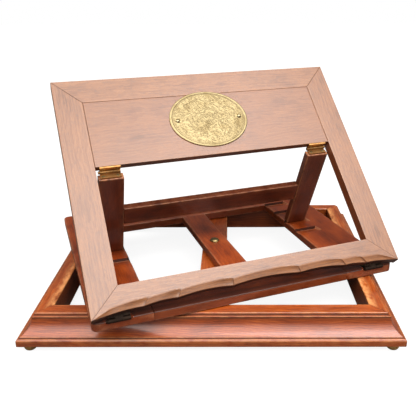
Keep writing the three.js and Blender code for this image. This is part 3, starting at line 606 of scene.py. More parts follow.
@dataclass(frozen=True)
class Wood(Finish):
    """A varnished hardwood: rings about a pith, streaks, fibres, pores, worn arrises and darkened quirks.

    Its colours run from dark through middle to light. The side colour is painted shade: it takes the share sides
    where a piece faces sideways or down. The flecked one takes the share fleck in flecks, and the worn one the
    share wear on arrises.
    """

    dark: Colour
    middle: Colour
    light: Colour
    worn: Colour
    # painted shade: the darker colour that faces looking sideways or down take
    side: Colour = field(default_factory=lambda: paint(58, 22, 10))
    wear: float = 0.6
    figure: float = 0.5
    roughness: float = 0.36
    coat: float = 0.6
    coat_roughness: float = 0.16
    coat_ior: float = 1.5
    # how much of the painted side shade a piece takes
    sides: float = 0.0
    mottle: float = 0.7
    fleck: float = 0.0
    flecked: Colour = field(default_factory=lambda: paint(104, 78, 66))
    # the dark colour of real dirt, also mixed in as painted shade under the panel and on recessed faces
    grime_and_shade_colour: Colour = field(default_factory=lambda: paint(22, 9, 5))

    def surface(self, bench: NodeBench) -> dict:
        """The varnished wood's inputs, from the grain coordinates and marks that each piece carries."""
        grain = bench.node("ShaderNodeAttribute", {"attribute_name": "grain"}, {}).outputs["Vector"]
        split = bench.node("ShaderNodeSeparateXYZ", {}, {0: grain})
        x, y, z = (Signal(bench, socket) for socket in split.outputs)
        drift = bench.noise(grain, (0.16, 0.4, 0.4), 4.0, 0.6)
        radius = (y * y + z * z) ** 0.5 + x * 0.03 + drift * 1.5
        ring = (radius * 3.6).fraction()
        late = ring.between(0.1, 0.86) - ring.between(0.86, 1.0)
        streak = bench.noise(grain, (0.22, 7.5, 7.5), 4.0, 0.65, 0.3)
        fibre = bench.noise(grain, (1.3, 34.0, 34.0), 3.0, 0.65)
        pore = bench.noise(grain, (5.0, 60.0, 60.0), 1.0).between(0.6, 0.72)
        cloud = bench.noise(grain, (0.25, 0.5, 0.5), 2.0)
        tone = 0.5 + (0.45 - late) * (0.24 * self.figure) + (streak - 0.5) * 1.5 * self.figure
        tone = tone + (fibre - 0.5) * 0.6 + (cloud - 0.5) * self.mottle
        colour = bench.ramp(tone, [(0.12, self.dark), (0.5, self.middle), (0.88, self.light)])
        colour = bench.mixed(pore * 0.45, colour, self.dark)
        fleck = bench.noise(grain, (2.4, 9.0, 9.0), 3.0, 0.6).between(0.5, 0.66) * self.fleck
        colour = bench.mixed(fleck, colour, self.flecked)
        # Painted shade: faces that look sideways or down are mixed towards the side colour.
        colour = bench.mixed((1 - bench.attribute("faces_up")) * self.sides, colour, self.side)
        patch = bench.noise(grain, (0.9, 1.6, 1.6), 3.0, 0.6)
        wear = bench.attribute("worn") * (patch * 1.5 - 0.2).between(0.2, 0.8) * self.wear
        colour = bench.mixed(wear, colour, self.worn)
        scratch = bench.noise(grain, (1.2, 7.0, 7.0), 4.0, 0.7).between(0.66, 0.76) * 0.22 * self.wear
        colour = bench.mixed(scratch, colour, self.worn)
        # Real dirt in joints and random patches, and painted shade where a piece's marks carry it.
        darkening = bench.attribute("grime_and_shade").most((0.42 - cloud).between(0.0, 0.3) * 0.25) * 0.85
        colour = bench.mixed(darkening, colour, self.grime_and_shade_colour)
        rough = self.roughness + (fibre - 0.5) * 0.12 + (cloud - 0.5) * 0.16 + wear * 0.2 + darkening * 0.2
        height = fibre * 0.35 - pore * 0.8 - late * 0.15 + patch * 0.6
        return {
            "Base Color": colour, "Roughness": rough, "Coat Weight": self.coat - wear * 0.3 - darkening * 0.3,
            "Coat Roughness": self.coat_roughness, "Coat IOR": self.coat_ior, "IOR": 1.5,
            "Normal": bench.bumped(height, 0.35, 0.0003),
        }


@dataclass(frozen=True)
class Brass(Finish):
    """Old brass: gold on high places, brown in the low ones, finely scratched."""

    bright: Colour
    dull: Colour
    tarnish: Colour
    roughness: float = 0.32
    age: float = 0.4
    metal: float = 1.0

    def surface(self, bench: NodeBench) -> dict:
        """The brass's inputs, tarnished where its grime_and_shade mark is high."""
        place = bench.node("ShaderNodeTexCoord", {}, {}).outputs["Object"]
        cloud = bench.noise(place, (70.0, 70.0, 70.0), 3.0, 0.6)
        speck = bench.noise(place, (900.0, 900.0, 900.0), 3.0, 0.6)
        rub = bench.noise(place, (180.0, 1700.0, 900.0), 2.0)
        grime_and_shade = bench.attribute("grime_and_shade")
        old = (cloud * 1.2 + speck * 0.5 - 0.35 + (self.age - 0.5)).between(0.2, 0.9)
        colour = bench.mixed(old, self.bright, self.dull)
        low = (grime_and_shade * (0.7 + speck * 0.5)).between(0.12, 0.85)
        colour = bench.mixed(low * 0.9, colour, self.tarnish)
        rough = self.roughness + old * 0.16 + low * 0.25 + (speck - 0.5) * 0.12
        height = speck * 0.5 + rub * 0.5 + cloud * 0.4
        return {
            "Base Color": colour, "Metallic": self.metal - low * 0.45, "Roughness": rough,
            "Normal": bench.bumped(height, 0.3, 0.00015),
        }


# The side colours and sides shares below paint shade on faces that look sideways or down.
RAIL_WOOD = Wood("rail_varnish", Slot.POLISHED_WOOD, paint(96, 32, 8), paint(162, 70, 20), paint(206, 104, 36),
                 paint(232, 158, 96), wear=0.42, figure=0.6, coat=0.85, coat_ior=1.56, sides=0.25, mottle=0.6)
TURNTABLE_WOOD = Wood("turntable_varnish", Slot.POLISHED_WOOD, paint(88, 30, 8), paint(146, 58, 15),
                      paint(180, 82, 26), paint(220, 156, 116), side=paint(104, 42, 15), wear=0.3, figure=0.5,
                      coat=0.5, sides=0.6, mottle=0.9)
STILE_WOOD = Wood("stile_varnish", Slot.PANEL_WOOD, paint(104, 60, 34), paint(146, 93, 55), paint(168, 113, 70),
                  paint(188, 136, 100), side=paint(118, 54, 21), wear=0.4, figure=0.6, roughness=0.42, coat=1.0,
                  coat_roughness=0.32, sides=0.8, mottle=0.45, fleck=0.4)
BOARD_WOOD = Wood("board_varnish", Slot.BOARD_WOOD, paint(102, 58, 33), paint(142, 88, 51), paint(162, 106, 64),
                  paint(180, 124, 88), side=paint(70, 28, 11), wear=0.35, figure=0.5, roughness=0.42, coat=1.0,
                  coat_roughness=0.32, sides=0.8, mottle=0.5, fleck=0.3)
LEG_WOOD = Wood("leg_varnish", Slot.PROP_WOOD, paint(54, 19, 7), paint(94, 36, 13), paint(122, 52, 20),
                paint(196, 132, 90), wear=0.6, figure=0.5, coat=0.35, mottle=0.8)
BRIGHT_BRASS = Brass("bright_fitting", Slot.BRASS, paint(176, 158, 112), paint(142, 116, 72), paint(70, 52, 28))
PLAQUE_BRASS = Brass("engraved_plate", Slot.BRASS, paint(156, 140, 104), paint(132, 112, 74), paint(86, 66, 38),
                     roughness=0.42, age=0.35)
SCREW_BRASS = Brass("rubbed_fitting", Slot.BRASS, paint(226, 208, 164), paint(190, 168, 122), paint(96, 72, 42),
                    roughness=0.26, age=0.2)
FOOT_BRASS = Brass("foot_fitting", Slot.BRASS, paint(206, 164, 104), paint(164, 120, 68), paint(84, 56, 30),
                   roughness=0.4, age=0.4, metal=0.55)
DARK_BRASS = Brass("dull_fitting", Slot.AGED_BRASS, paint(188, 142, 88), paint(134, 92, 54), paint(60, 38, 22),
                   roughness=0.42, age=0.5)
# Front hinge brass, darkened past its tarnish to paint the shade under the panel's front edge.
TARNISH_AND_SHADE_BRASS = Brass("tarnish_and_shade_fitting", Slot.AGED_BRASS, paint(60, 40, 24), paint(40, 26, 16),
                        paint(26, 17, 11), roughness=0.6, age=0.7, metal=0.6)


# ---------------------------------------------------------------- the workbench


def linked(name: str, data: bpy.types.ID) -> bpy.types.Object:
    """A new object at the origin, in the scene."""
    made = bpy.data.objects.new(name, data)
    bpy.context.scene.collection.objects.link(made)
    return made


def mesh_of(name: str, skin: Skin, place: Array) -> bpy.types.Mesh:
    """A skin laid in the row frame, in metres."""
    mesh = bpy.data.meshes.new(name)
    mesh.from_pydata((skin.placed(place).points * METRES).tolist(), [], skin.faces)
    return mesh


def make_object(name: str, skin: Skin, place: Array, finish: Finish,
                offset: Array | float = 0.0) -> bpy.types.Object:
    """Lays a skin in the row frame as an object at the origin.

    Args:
        name: the piece's name.
        skin: the closed surface in its own frame, its grain along X.
        place: where its frame lies in the row frame, in millimetres.
        finish: what it is made of.
        offset: shifts the grain, so that each plank is cut from its own place in a tree.

    Returns:
        The object, with its grain, worn, grimy and faces_up attributes.
    """
    mesh = mesh_of(name, skin, place)
    store_grain(mesh, skin.points, offset)
    store(mesh, "worn", skin.worn)
    store(mesh, "grime_and_shade", skin.grime_and_shade)
    store_outlook(mesh, place)
    finish_mesh(mesh, finish.material())
    return linked(name, mesh)


def store(mesh: bpy.types.Mesh, name: str, values: Array) -> None:
    """Writes one number or one vector for each point of a mesh."""
    kind, key = ("FLOAT_VECTOR", "vector") if values.ndim == 2 else ("FLOAT", "value")
    layer = mesh.attributes.get(name) or mesh.attributes.new(name, kind, "POINT")
    layer.data.foreach_set(key, values.astype(np.float32).ravel())


def store_grain(mesh: bpy.types.Mesh, points: Array, offset: Array | float) -> None:
    """Writes the grain coordinates: a point's place in its plank, and the plank's place in its tree."""
    store(mesh, "grain", points * GRAIN_UNIT + offset)


def store_outlook(mesh: bpy.types.Mesh, place: Array) -> None:
    """Writes how far each point looks up in the piece's own frame, its normal's part along Z from 0 to 1, which
    sets the painted shade on sides.
    """
    mesh.update()
    normals = np.empty(len(mesh.vertices) * 3, np.float32)
    mesh.vertices.foreach_get("normal", normals)
    store(mesh, "faces_up", smooth(0.3, 0.85, normals.reshape(-1, 3) @ place[:3, 2]))


def own_points(mesh: bpy.types.Mesh, place: Array) -> Array:
    """A mesh's points in millimetres in a place's own frame."""
    points = np.empty(len(mesh.vertices) * 3, np.float32)
    mesh.vertices.foreach_get("co", points)
    return (points.reshape(-1, 3) / METRES - place[:3, 3]) @ place[:3, :3]


def finish_mesh(mesh: bpy.types.Mesh, material: bpy.types.Material) -> None:
    """Shades a mesh smooth but for its sharp edges and gives it its material."""
    mesh.polygons.foreach_set("use_smooth", np.ones(len(mesh.polygons), bool))
    mesh.set_sharp_from_angle(angle=SMOOTH_ANGLE)
    mesh.materials.clear()
    mesh.materials.append(material)
    mesh.update()


def tree_offset() -> Array:
    """Where in its tree a plank was sawn: centimetres along, across and out from the pith."""
    return DRAWS.uniform([0, -2.6, 2.6], [60, 2.6, 5.5])


def settle(piece: bpy.types.Object, body: Body, finish: Finish, *nodes: str) -> bpy.types.Object:
    """Makes a piece ride on a body in place of its CAD nodes."""
    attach(piece, body.value)
    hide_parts(*nodes)
    LOG.info("%s: %d faces, rides on %s", piece.name, len(piece.data.polygons), body.value)
    return piece


def cut_out(piece: bpy.types.Object, cutters: list[Skin], place: Array, offset: Array) -> None:
    """Takes cutters out of a piece, then writes its grain and outlook again from the points that are left.

    Args:
        piece: the object to cut.
        cutters: closed skins in the piece's own frame.
        place: the piece's frame.
        offset: the piece's grain shift.
    """
    material = piece.data.materials[0]
    for skin in cutters:
        cutter = linked("cutter", mesh_of("cutter", skin, place))
        modifier = piece.modifiers.new("cut", "BOOLEAN")
        modifier.operation, modifier.solver, modifier.object = "DIFFERENCE", "EXACT", cutter
        bpy.context.view_layer.update()
        evaluated = piece.evaluated_get(bpy.context.evaluated_depsgraph_get())
        left = bpy.data.meshes.new_from_object(evaluated)
        piece.modifiers.clear()
        whole, piece.data = piece.data, left
        for mesh in (whole, cutter.data):
            bpy.data.meshes.remove(mesh)
    left.name = piece.name
    store_grain(left, own_points(left, place), offset)
    store_outlook(left, place)
    finish_mesh(left, material)


def softened_copy(node: bpy.types.Object, name: str, finish: Finish, width: float = 0.18) -> bpy.types.Object:
    """A copy of a small fitting of the model, its points merged, its flats made whole and its edges bevelled."""
    work = bmesh.new()
    work.from_mesh(node.data)
    same_place, same_face = 1e-6, 0.01
    bmesh.ops.remove_doubles(work, verts=work.verts, dist=same_place)
    bmesh.ops.dissolve_limit(work, angle_limit=same_face, verts=work.verts, edges=work.edges)
    mesh = bpy.data.meshes.new(name)
    work.to_mesh(mesh)
    work.free()
    store(mesh, "grime_and_shade", np.zeros(len(mesh.vertices)))
    finish_mesh(mesh, finish.material())
    made = linked(name, mesh)
    bevel = made.modifiers.new("eased edges", "BEVEL")
    bevel.width, bevel.segments, bevel.limit_method = width * METRES, 2, "ANGLE"
    bevel.angle_limit, bevel.harden_normals = math.radians(30), False
    return made


# ---------------------------------------------------------------- base


@dataclass
class Base:
    """The moulded frame on its four feet, with the bar and the swivel bolt that carry the turntable."""

    middle: Array
    width: float = 445.0
    depth: float = 371.0
    height: float = 42.9
    rail_width: float = 37.0
    foot_height: float = 8.9
    foot_radius: float = 8.3
    foot_inset: float = 12.0
    plinth_height: float = 9.9
    plinth_round: float = 2.4
    quirk: float = 1.1
    cove_top: float = 38.6
    cove_top_inset: float = 16.1
    cove_sag: float = 3.2
    bead_inset: float = 19.0
    top_round: float = 1.6
    bar_width: float = 34.9
    bar_thickness: float = 20.0
    mitre_gap: float = 0.15
    play: float = PLAY
    tenon: tuple[float, float, float] = (12.0, 17.4, 6.0)
    bolt_radius: float = 3.0
    bolt_play: float = 0.2
    bolt_head: tuple[float, float] = (7.0, 3.0)
    washer_radius: float = 11.0
    washer_thickness: float = 1.1
    nut_radius: float = 6.5
    nut_height: float = 3.4
    post_radius: float = 4.5
    post_length: float = 9.0
    turntable_top: float = 55.1
    pad_radius: float = 4.5
    belly_height: float = 5.4

    def section(self) -> Array:
        """The moulding: flat top, quirk and bead, hollow cove, quirk, round-nosed plinth."""
        bottom, plinth_top = self.foot_height, self.foot_height + self.plinth_height
        foot = (self.plinth_round + self.quirk, plinth_top + self.quirk)
        cove = arc_points((self.cove_top_inset, self.cove_top), foot, -self.cove_sag, 12)
        shelf = self.cove_top + 1.3
        nose = self.plinth_round
        corners = [
            (self.rail_width, bottom, 0.5),
            (self.rail_width, self.height, self.top_round),
            (self.bead_inset, self.height, self.top_round * 0.8),
            (self.bead_inset, shelf, 0.15),
            (self.cove_top_inset + 1.2, shelf, 0.25),
            (self.cove_top_inset - 0.4, shelf, 0.5),
            (self.cove_top_inset - 0.6, self.cove_top + 0.1, 0.3),
            *[(y, z, 0.0) for y, z in cove],
            (foot[0], plinth_top, 0.2),
            (nose * 0.6, plinth_top, nose * 0.5),
            (0.0, plinth_top - nose * 0.8, nose * 0.9),
            (0.0, bottom + 0.2, 1.4),
            (nose, bottom, 0.8),
        ]
        return section_of(corners, 5.0, 0.7)

    def build(self) -> None:
        """Makes the rails, the bar, the feet and the swivel."""
        section = self.section()
        sides = [
            ("front", self.width, (0, -self.depth / 2), 0),
            ("right", self.depth, (self.width / 2, 0), 90),
            ("back", self.width, (0, self.depth / 2), 180),
            ("left", self.depth, (-self.width / 2, 0), 270),
        ]
        for side, length, (x, y), turn in sides:
            end = length / 2 - section[:, 0] - self.mitre_gap
            skin = carried(section, -end, end, 5.0, 0.3, True)
            # Painted shade on each rail's inner face, which looks into the opening.
            inner = smooth(self.rail_width - 0.6, self.rail_width + 0.2, skin.points[:, 1])
            skin.grime_and_shade = np.maximum(skin.grime_and_shade, inner * 0.2 * (1 - skin.worn))
            if turn in (90, 270):
                on_top = skin.points[:, 2] > self.height - 1
                rubbed = smooth(self.rail_width - 11, self.rail_width - 3, skin.points[:, 1]) * on_top
                skin.worn = np.maximum(skin.worn, rubbed * 2.4)
            place = self.middle @ moved(x, y) @ turned("Z", turn)
            name = f"base_{side}_rail"
            rail = make_object(f"{name}_moulding", skin, place, RAIL_WOOD, tree_offset())
            settle(rail, Body.BASE, RAIL_WOOD, name)
        self.build_bar()
        self.build_feet()
        self.build_swivel()

    def build_bar(self) -> None:
        """The bar across the middle, with its tenons and the bolt's hole."""
        length = self.depth - 2 * (self.rail_width + self.play)
        centre = self.height - self.bar_thickness / 2
        place = self.middle @ moved(z=centre) @ turned("Z", 90)
        skin = tenoned((length, self.bar_width, self.bar_thickness), self.tenon, 1.0)
        offset = tree_offset()
        bar = make_object("base_centre_bar_oiled", skin, place, RAIL_WOOD, offset)
        cut_out(bar, [bore(self.bolt_radius + self.bolt_play, self.bar_thickness)], place, offset)
        settle(bar, Body.BASE, RAIL_WOOD, "base_centre_bar")

    def build_feet(self) -> None:
        """Brass button feet: a flat pad, a full round belly, a neck and a seat plate."""
        radius, top = self.foot_radius, self.foot_height - self.play
        angles = np.linspace(0, math.pi / 2, 9)
        belly = np.stack([self.pad_radius + (radius - 0.6 - self.pad_radius) * np.sin(angles),
                          self.belly_height * (1 - np.cos(angles))], 1)
        upper = np.array([(-0.7, 6.0), (-1.3, 6.5), (-1.4, 6.9), (-0.2, 7.0), (0, 7.2), (0, top - 0.2),
                          (-0.2, top)])
        profile = np.concatenate([[[0, 0], [self.pad_radius - 0.1, 0]], belly, upper + [radius, 0], [[0, top]]])
        x, y = self.width / 2 - self.foot_inset, self.depth / 2 - self.foot_inset
        for end, y_foot in (("front", -y), ("back", y)):
            for side in Side:
                name = f"foot_{end}_{side.word}"
                place = self.middle @ moved(side.value * x, y_foot)
                foot = make_object(f"{name}_button", lathe(profile), place, FOOT_BRASS)
                settle(foot, Body.BASE, FOOT_BRASS, name)

    def build_swivel(self) -> None:
        """The bolt with its head below the bar, the washer between the frames and the domed post nut on top."""
        under = self.height - self.bar_thickness - self.play
        seat = self.turntable_top + self.play
        (head, head_height), radius = self.bolt_head, self.bolt_radius
        shank = np.array([[0, under - head_height], [head - 2.4, under - head_height],
                          [head - 0.8, under - 2.4], [head, under - 1.4], [head, under - 0.2],
                          [head - 0.2, under], [radius, under], [radius, seat - 1.6], [radius - 0.6, seat - 1.1],
                          [0, seat - 1.1]])
        bolt = make_object("pivot_bolt_turned", lathe(shank), self.middle, DARK_BRASS)
        settle(bolt, Body.BASE, DARK_BRASS, "pivot_bolt")
        low, high = self.height + self.play / 2, self.height + self.washer_thickness - self.play / 2
        hole, rim = self.bolt_radius + self.bolt_play, self.washer_radius
        ring = np.array([[hole, low], [rim - 0.15, low], [rim, low + 0.15], [rim, high - 0.15],
                         [rim - 0.15, high], [hole, high]])
        washer = make_object("pivot_washer_turned", ring_skin(ring), self.middle, BRIGHT_BRASS)
        settle(washer, Body.BASE, BRIGHT_BRASS, "pivot_washer")
        angles = np.linspace(0, math.pi / 2, 12)[:-1]
        radius, post_end = self.nut_radius - 0.4, seat - self.post_length
        dome = np.stack([radius * np.cos(angles), seat + 0.9 + (self.nut_height - 0.9) * np.sin(angles)], 1)
        post, rim = self.post_radius, self.nut_radius
        skirt = np.array([[0, seat - 0.8], [hole, seat - 0.8], [hole, post_end], [post - 0.2, post_end],
                          [post, post_end + 0.2], [post, seat], [rim - 0.1, seat], [rim, seat + 0.12],
                          [rim, seat + 0.55], [rim - 0.15, seat + 0.7], [radius, seat + 0.72]])
        profile = np.concatenate([skirt, dome, [[0, seat + self.nut_height]]])
        nut = make_object("pivot_dome_nut_turned", lathe(profile), self.middle, BRIGHT_BRASS)
        settle(nut, Body.BASE, BRIGHT_BRASS, "pivot_dome_nut")


# ---------------------------------------------------------------- hinges


@dataclass(frozen=True)
class HingeSet:
    """The small fittings of the hinges: leaves and pins eased from the model, screws made anew."""

    nodes: dict[str, bpy.types.Object]

    def leaf(self, name: str, body: Body, finish: Finish) -> None:
        """One leaf or pin with eased edges."""
        settle(softened_copy(self.nodes[name], f"{name}_eased", finish), body, finish, name)

    def screws(self, name: str, body: Body, place: Array) -> None:
        """The two countersunk screws of a leaf, each with its slot turned its own way.

        Args:
            name: the leaf's name without its last word.
            body: what the screws ride on.
            place: a frame whose +Z looks out of the leaf.
        """
        for number in (1, 2):
            node = f"{name}_screw_{number}"
            head = screw_head_place(self.nodes[node], place)
            skin = screw_skin(1.9, 0.12, 1.9, 0.9, 6.5, 0.22)
            spin = turned("Z", float(DRAWS.uniform(0, 180)))
            screw = make_object(f"{node}_slotted", skin, head @ spin, BRIGHT_BRASS)
            settle(screw, body, BRIGHT_BRASS, node)


def screw_head_place(node: bpy.types.Object, place: Array) -> Array:
    """Where a screw's seat lies: its points' far end along the frame's +Z, on the screw's own axis."""
    own = own_points(node.data, place)
    low, high = own.min(0), own.max(0)
    return place @ moved((low[0] + high[0]) / 2, (low[1] + high[1]) / 2, high[2])


# ---------------------------------------------------------------- turntable


@dataclass
class Turntable:
    """The flat frame that turns on the bolt, with ratchet notches in its side rails."""

    frame: Array
    hinges: HingeSet
    width: float = 386.5
    depth: float = 317.3
    thickness: float = 11.1
    rail_width: float = 69.0
    corner: float = 8.0
    strut_width: float = 36.7
    notch_count: int = 4
    notch_pitch: float = 36.5
    notch_length: float = 17.0
    notch_depth: float = 4.0
    notch_splay: float = 3.4
    first_notch: float = -17.0
    notch_end: float = 158.1
    set_back: float = SET_BACK
    play: float = PLAY
    arris: float = 1.4
    hinge_place: float = HINGE_PLACE
    post_hole: float = 4.7
    tenon: tuple[float, float, float] = (12.0, 18.3, 6.0)

    def build(self) -> None:
        """Makes the four rails, the strut and the front hinges' lower halves."""
        self.build_cross_rails()
        self.build_strut()
        for side in Side:
            self.build_side_rail(side)
            self.build_hinge(side)

    def build_cross_rails(self) -> None:
        """The front and back rails, butted between the side rails."""
        length = self.width - 2 * self.rail_width - self.play
        for name, way in (("front", -1), ("back", 1)):
            y = way * (self.depth - self.rail_width) / 2
            place = self.frame @ moved(0, y, -self.thickness / 2)
            skin = plank((length, self.rail_width, self.thickness), self.arris, end=0.15)
            # Painted shadow of the panel's edge on the front rail's top.
            if way < 0:
                darkening = self.shade_under_panel(skin.points[:, 1] + self.rail_width / 2, skin.points[:, 2])
                skin.grime_and_shade, skin.worn = np.maximum(skin.grime_and_shade, darkening), skin.worn * (1 - darkening)
            rail = make_object(f"turntable_{name}_rail_board", skin, place, TURNTABLE_WOOD, tree_offset())
            settle(rail, Body.TURNTABLE, TURNTABLE_WOOD, f"turntable_{name}_rail")

    def shade_under_panel(self, behind: Array, height: Array) -> Array:
        """The painted shadow on top under the panel's edge: 1 at the front edge, fading out 17 mm behind it."""
        return 0.9 * (1 - smooth(9.0, 17.0, behind)) * (height > height.max() - 1.0)

    def build_strut(self) -> None:
        """The strut across the middle, with its tenons and the bolt's hole."""
        length = self.depth - 2 * self.rail_width - 2 * self.play
        place = self.frame @ moved(0, 0, -self.thickness / 2) @ turned("Z", 90)
        skin = tenoned((length, self.strut_width, self.thickness), self.tenon, self.arris)
        offset = tree_offset()
        strut = make_object("turntable_strut_board", skin, place, TURNTABLE_WOOD, offset)
        hole = bore(self.post_hole, self.thickness).placed(moved(-self.set_back))
        cut_out(strut, [hole], place, offset)
        settle(strut, Body.TURNTABLE, TURNTABLE_WOOD, "turntable_strut")

    def rail_lines(self, walls: Array) -> tuple[Array, Array]:
        """The grid lines of a side rail's top: rings along it and points across it, from the middle outwards.

        The rings bunch up at each notch's stop wall and at the rail's rounded ends. The points bunch up at its
        arrises and at the notches' outer ends.
        """
        half, end = self.width / 2, self.depth / 2
        inner = half - self.rail_width + self.play / 2
        near = np.array([0.0, 0.12, 0.35, 0.8, 1.4, 2.2, 3.4, 5.0, 6.6, 8.0])
        along = [steps_between(-end, end, 5.0), near - end, end - near]
        along += [wall + np.array([-3.6, -2.2, -0.9, -0.3, -0.12, 0.12, 0.45, 1.2, 2.5]) for wall in walls]
        along += [wall - self.notch_length + np.array([-1.2, 0.0, 1.2]) for wall in walls]
        splayed_end = self.notch_end + self.notch_splay
        across = np.concatenate([inner + np.array([0.0, 0.12, 0.4, 1.0, 2.2]),
                                 steps_between(inner + 8, self.notch_end - 10, 7.0),
                                 self.notch_end + np.array([-5.0, -2.0, -0.25, 0.25, 1.5]),
                                 steps_between(splayed_end + 3, half - 3.2, 7.0),
                                 half - np.array([2.2, 1.0, 0.4, 0.12, 0.0])])
        return np.unique(np.round(np.concatenate(along), 3)), across

    def side_rail(self, side: Side) -> Skin:
        """A side rail, its section carried from front to back.

        Inside a notch a top point drops by depth * (1 - distance in front of the wall / length), and the
        notch's outer end draws out by splay * distance / length. The rail's two outer corners and its end
        arrises are quarter rounds.
        """
        half, end, middle = self.width / 2, self.depth / 2, self.thickness / 2
        walls = self.first_notch + self.notch_pitch * np.arange(self.notch_count)
        x, across = self.rail_lines(walls)
        inner = across[0]
        drop = quarter_round(np.minimum(across - inner, half - across), self.arris)
        side_heights = -np.array([2.4, 5.5, 8.7])
        section_y = np.concatenate([across, np.full(3, half), across[::-1], np.full(3, inner)])
        section_z = np.concatenate([-drop, side_heights, drop[::-1] - self.thickness, side_heights[::-1]])
        on_top = np.arange(len(section_y)) < len(across)
        from_end = end - np.abs(x)
        draw = quarter_round(from_end, self.corner)
        y = section_y[None] - (section_y - inner)[None] / (half - inner) * draw[:, None]
        in_front = walls[:, None] - x[None]
        in_notch = (in_front > 0) & (in_front < self.notch_length)
        share = in_front / self.notch_length
        depth_here = np.where(in_notch, self.notch_depth * (1 - share), 0).max(0)
        splay_here = np.where(in_notch, self.notch_splay * share, 0).max(0)
        y = y + ((np.abs(section_y - self.notch_end) < 5.5) & on_top)[None] * splay_here[:, None]
        inside = ((section_y < self.notch_end) & on_top)[None]
        z = section_z[None] - inside * depth_here[:, None]
        z = (z + middle) * (1 - quarter_round(from_end, self.arris)[:, None] / middle) - middle
        rings = np.stack([np.broadcast_to(x[:, None], y.shape), -side.value * y, z], -1)
        arrises, _ = section_marks(np.stack([section_y, section_z], 1))
        ahead = in_front.min(0, where=in_front > -0.2, initial=99.0)[:, None]
        # Painted shade on each notch's stop wall.
        notch_wall_shade = (ahead > -0.2) & (ahead < 0.3) & inside
        scuff = smooth(0.3, 0.9, ahead) * (1 - smooth(2.0, 3.6, ahead)) * inside
        outer_end = (np.abs(section_y - self.notch_end - 0.25) < 0.6)[None] * (depth_here[:, None] > 0.3)
        rail_end = 1 - smooth(0.0, 1.5, from_end)[:, None]
        marks = np.broadcast_arrays(arrises[None], scuff * 2.6, outer_end * 3.0, rail_end * 0.3)
        worn = np.maximum.reduce(marks)
        # Painted shadow of the panel's edge on the side rails' front ends.
        darkening = self.shade_under_panel(x[:, None] + end, z)
        return Skin.of_rings(rings, worn * (1 - darkening), np.maximum(notch_wall_shade, darkening))

    def build_side_rail(self, side: Side) -> None:
        """A side rail with its front hinge's pocket."""
        quarter = turned("Z", 90)
        place, offset = self.frame @ quarter, tree_offset()
        name = f"turntable_{side.word}_rail"
        rail = make_object(f"{name}_notched", self.side_rail(side), place, TURNTABLE_WOOD, offset)
        to_hinge = np.linalg.inv(quarter) @ moved(side.value * self.hinge_place, -self.depth / 2)
        pockets = [box_skin(low, high).placed(to_hinge) for low, high in hinge_pockets(True)]
        cut_out(rail, pockets, place, offset)
        settle(rail, Body.TURNTABLE, TURNTABLE_WOOD, name)

    def build_hinge(self, side: Side) -> None:
        """The lower leaf, its screws and the pin of one front hinge."""
        name = f"front_hinge_{side.word}"
        # The front hinges' brass is darkened to paint the shade under the panel.
        self.hinges.leaf(f"{name}_lower_leaf", Body.TURNTABLE, TARNISH_AND_SHADE_BRASS)
        self.hinges.leaf(f"{name}_pin", Body.TURNTABLE, TARNISH_AND_SHADE_BRASS)
        self.hinges.screws(f"{name}_lower", Body.TURNTABLE, self.frame)


def hinge_pockets(barrel: bool) -> list[tuple[tuple[float, float, float], tuple[float, float, float]]]:
    """The pocket of a front leaf about the hinge axis: the plate's bed, and with barrel the barrel's room."""
    over, half_leaf, leaf_width, barrel_radius, bed_depth = 2.0, 12.7, 12, 2.5, 2.6
    bed, room, deep = half_leaf + PLAY, half_leaf + PLAY + 1.4 + PLAY, barrel_radius + PLAY
    plate = ((-bed, -over, -bed_depth), (bed, deep + leaf_width + PLAY, over))
    return [plate, ((-room, -deep, -deep), (room, deep, over))] if barrel else [plate]


# ---------------------------------------------------------------- panel


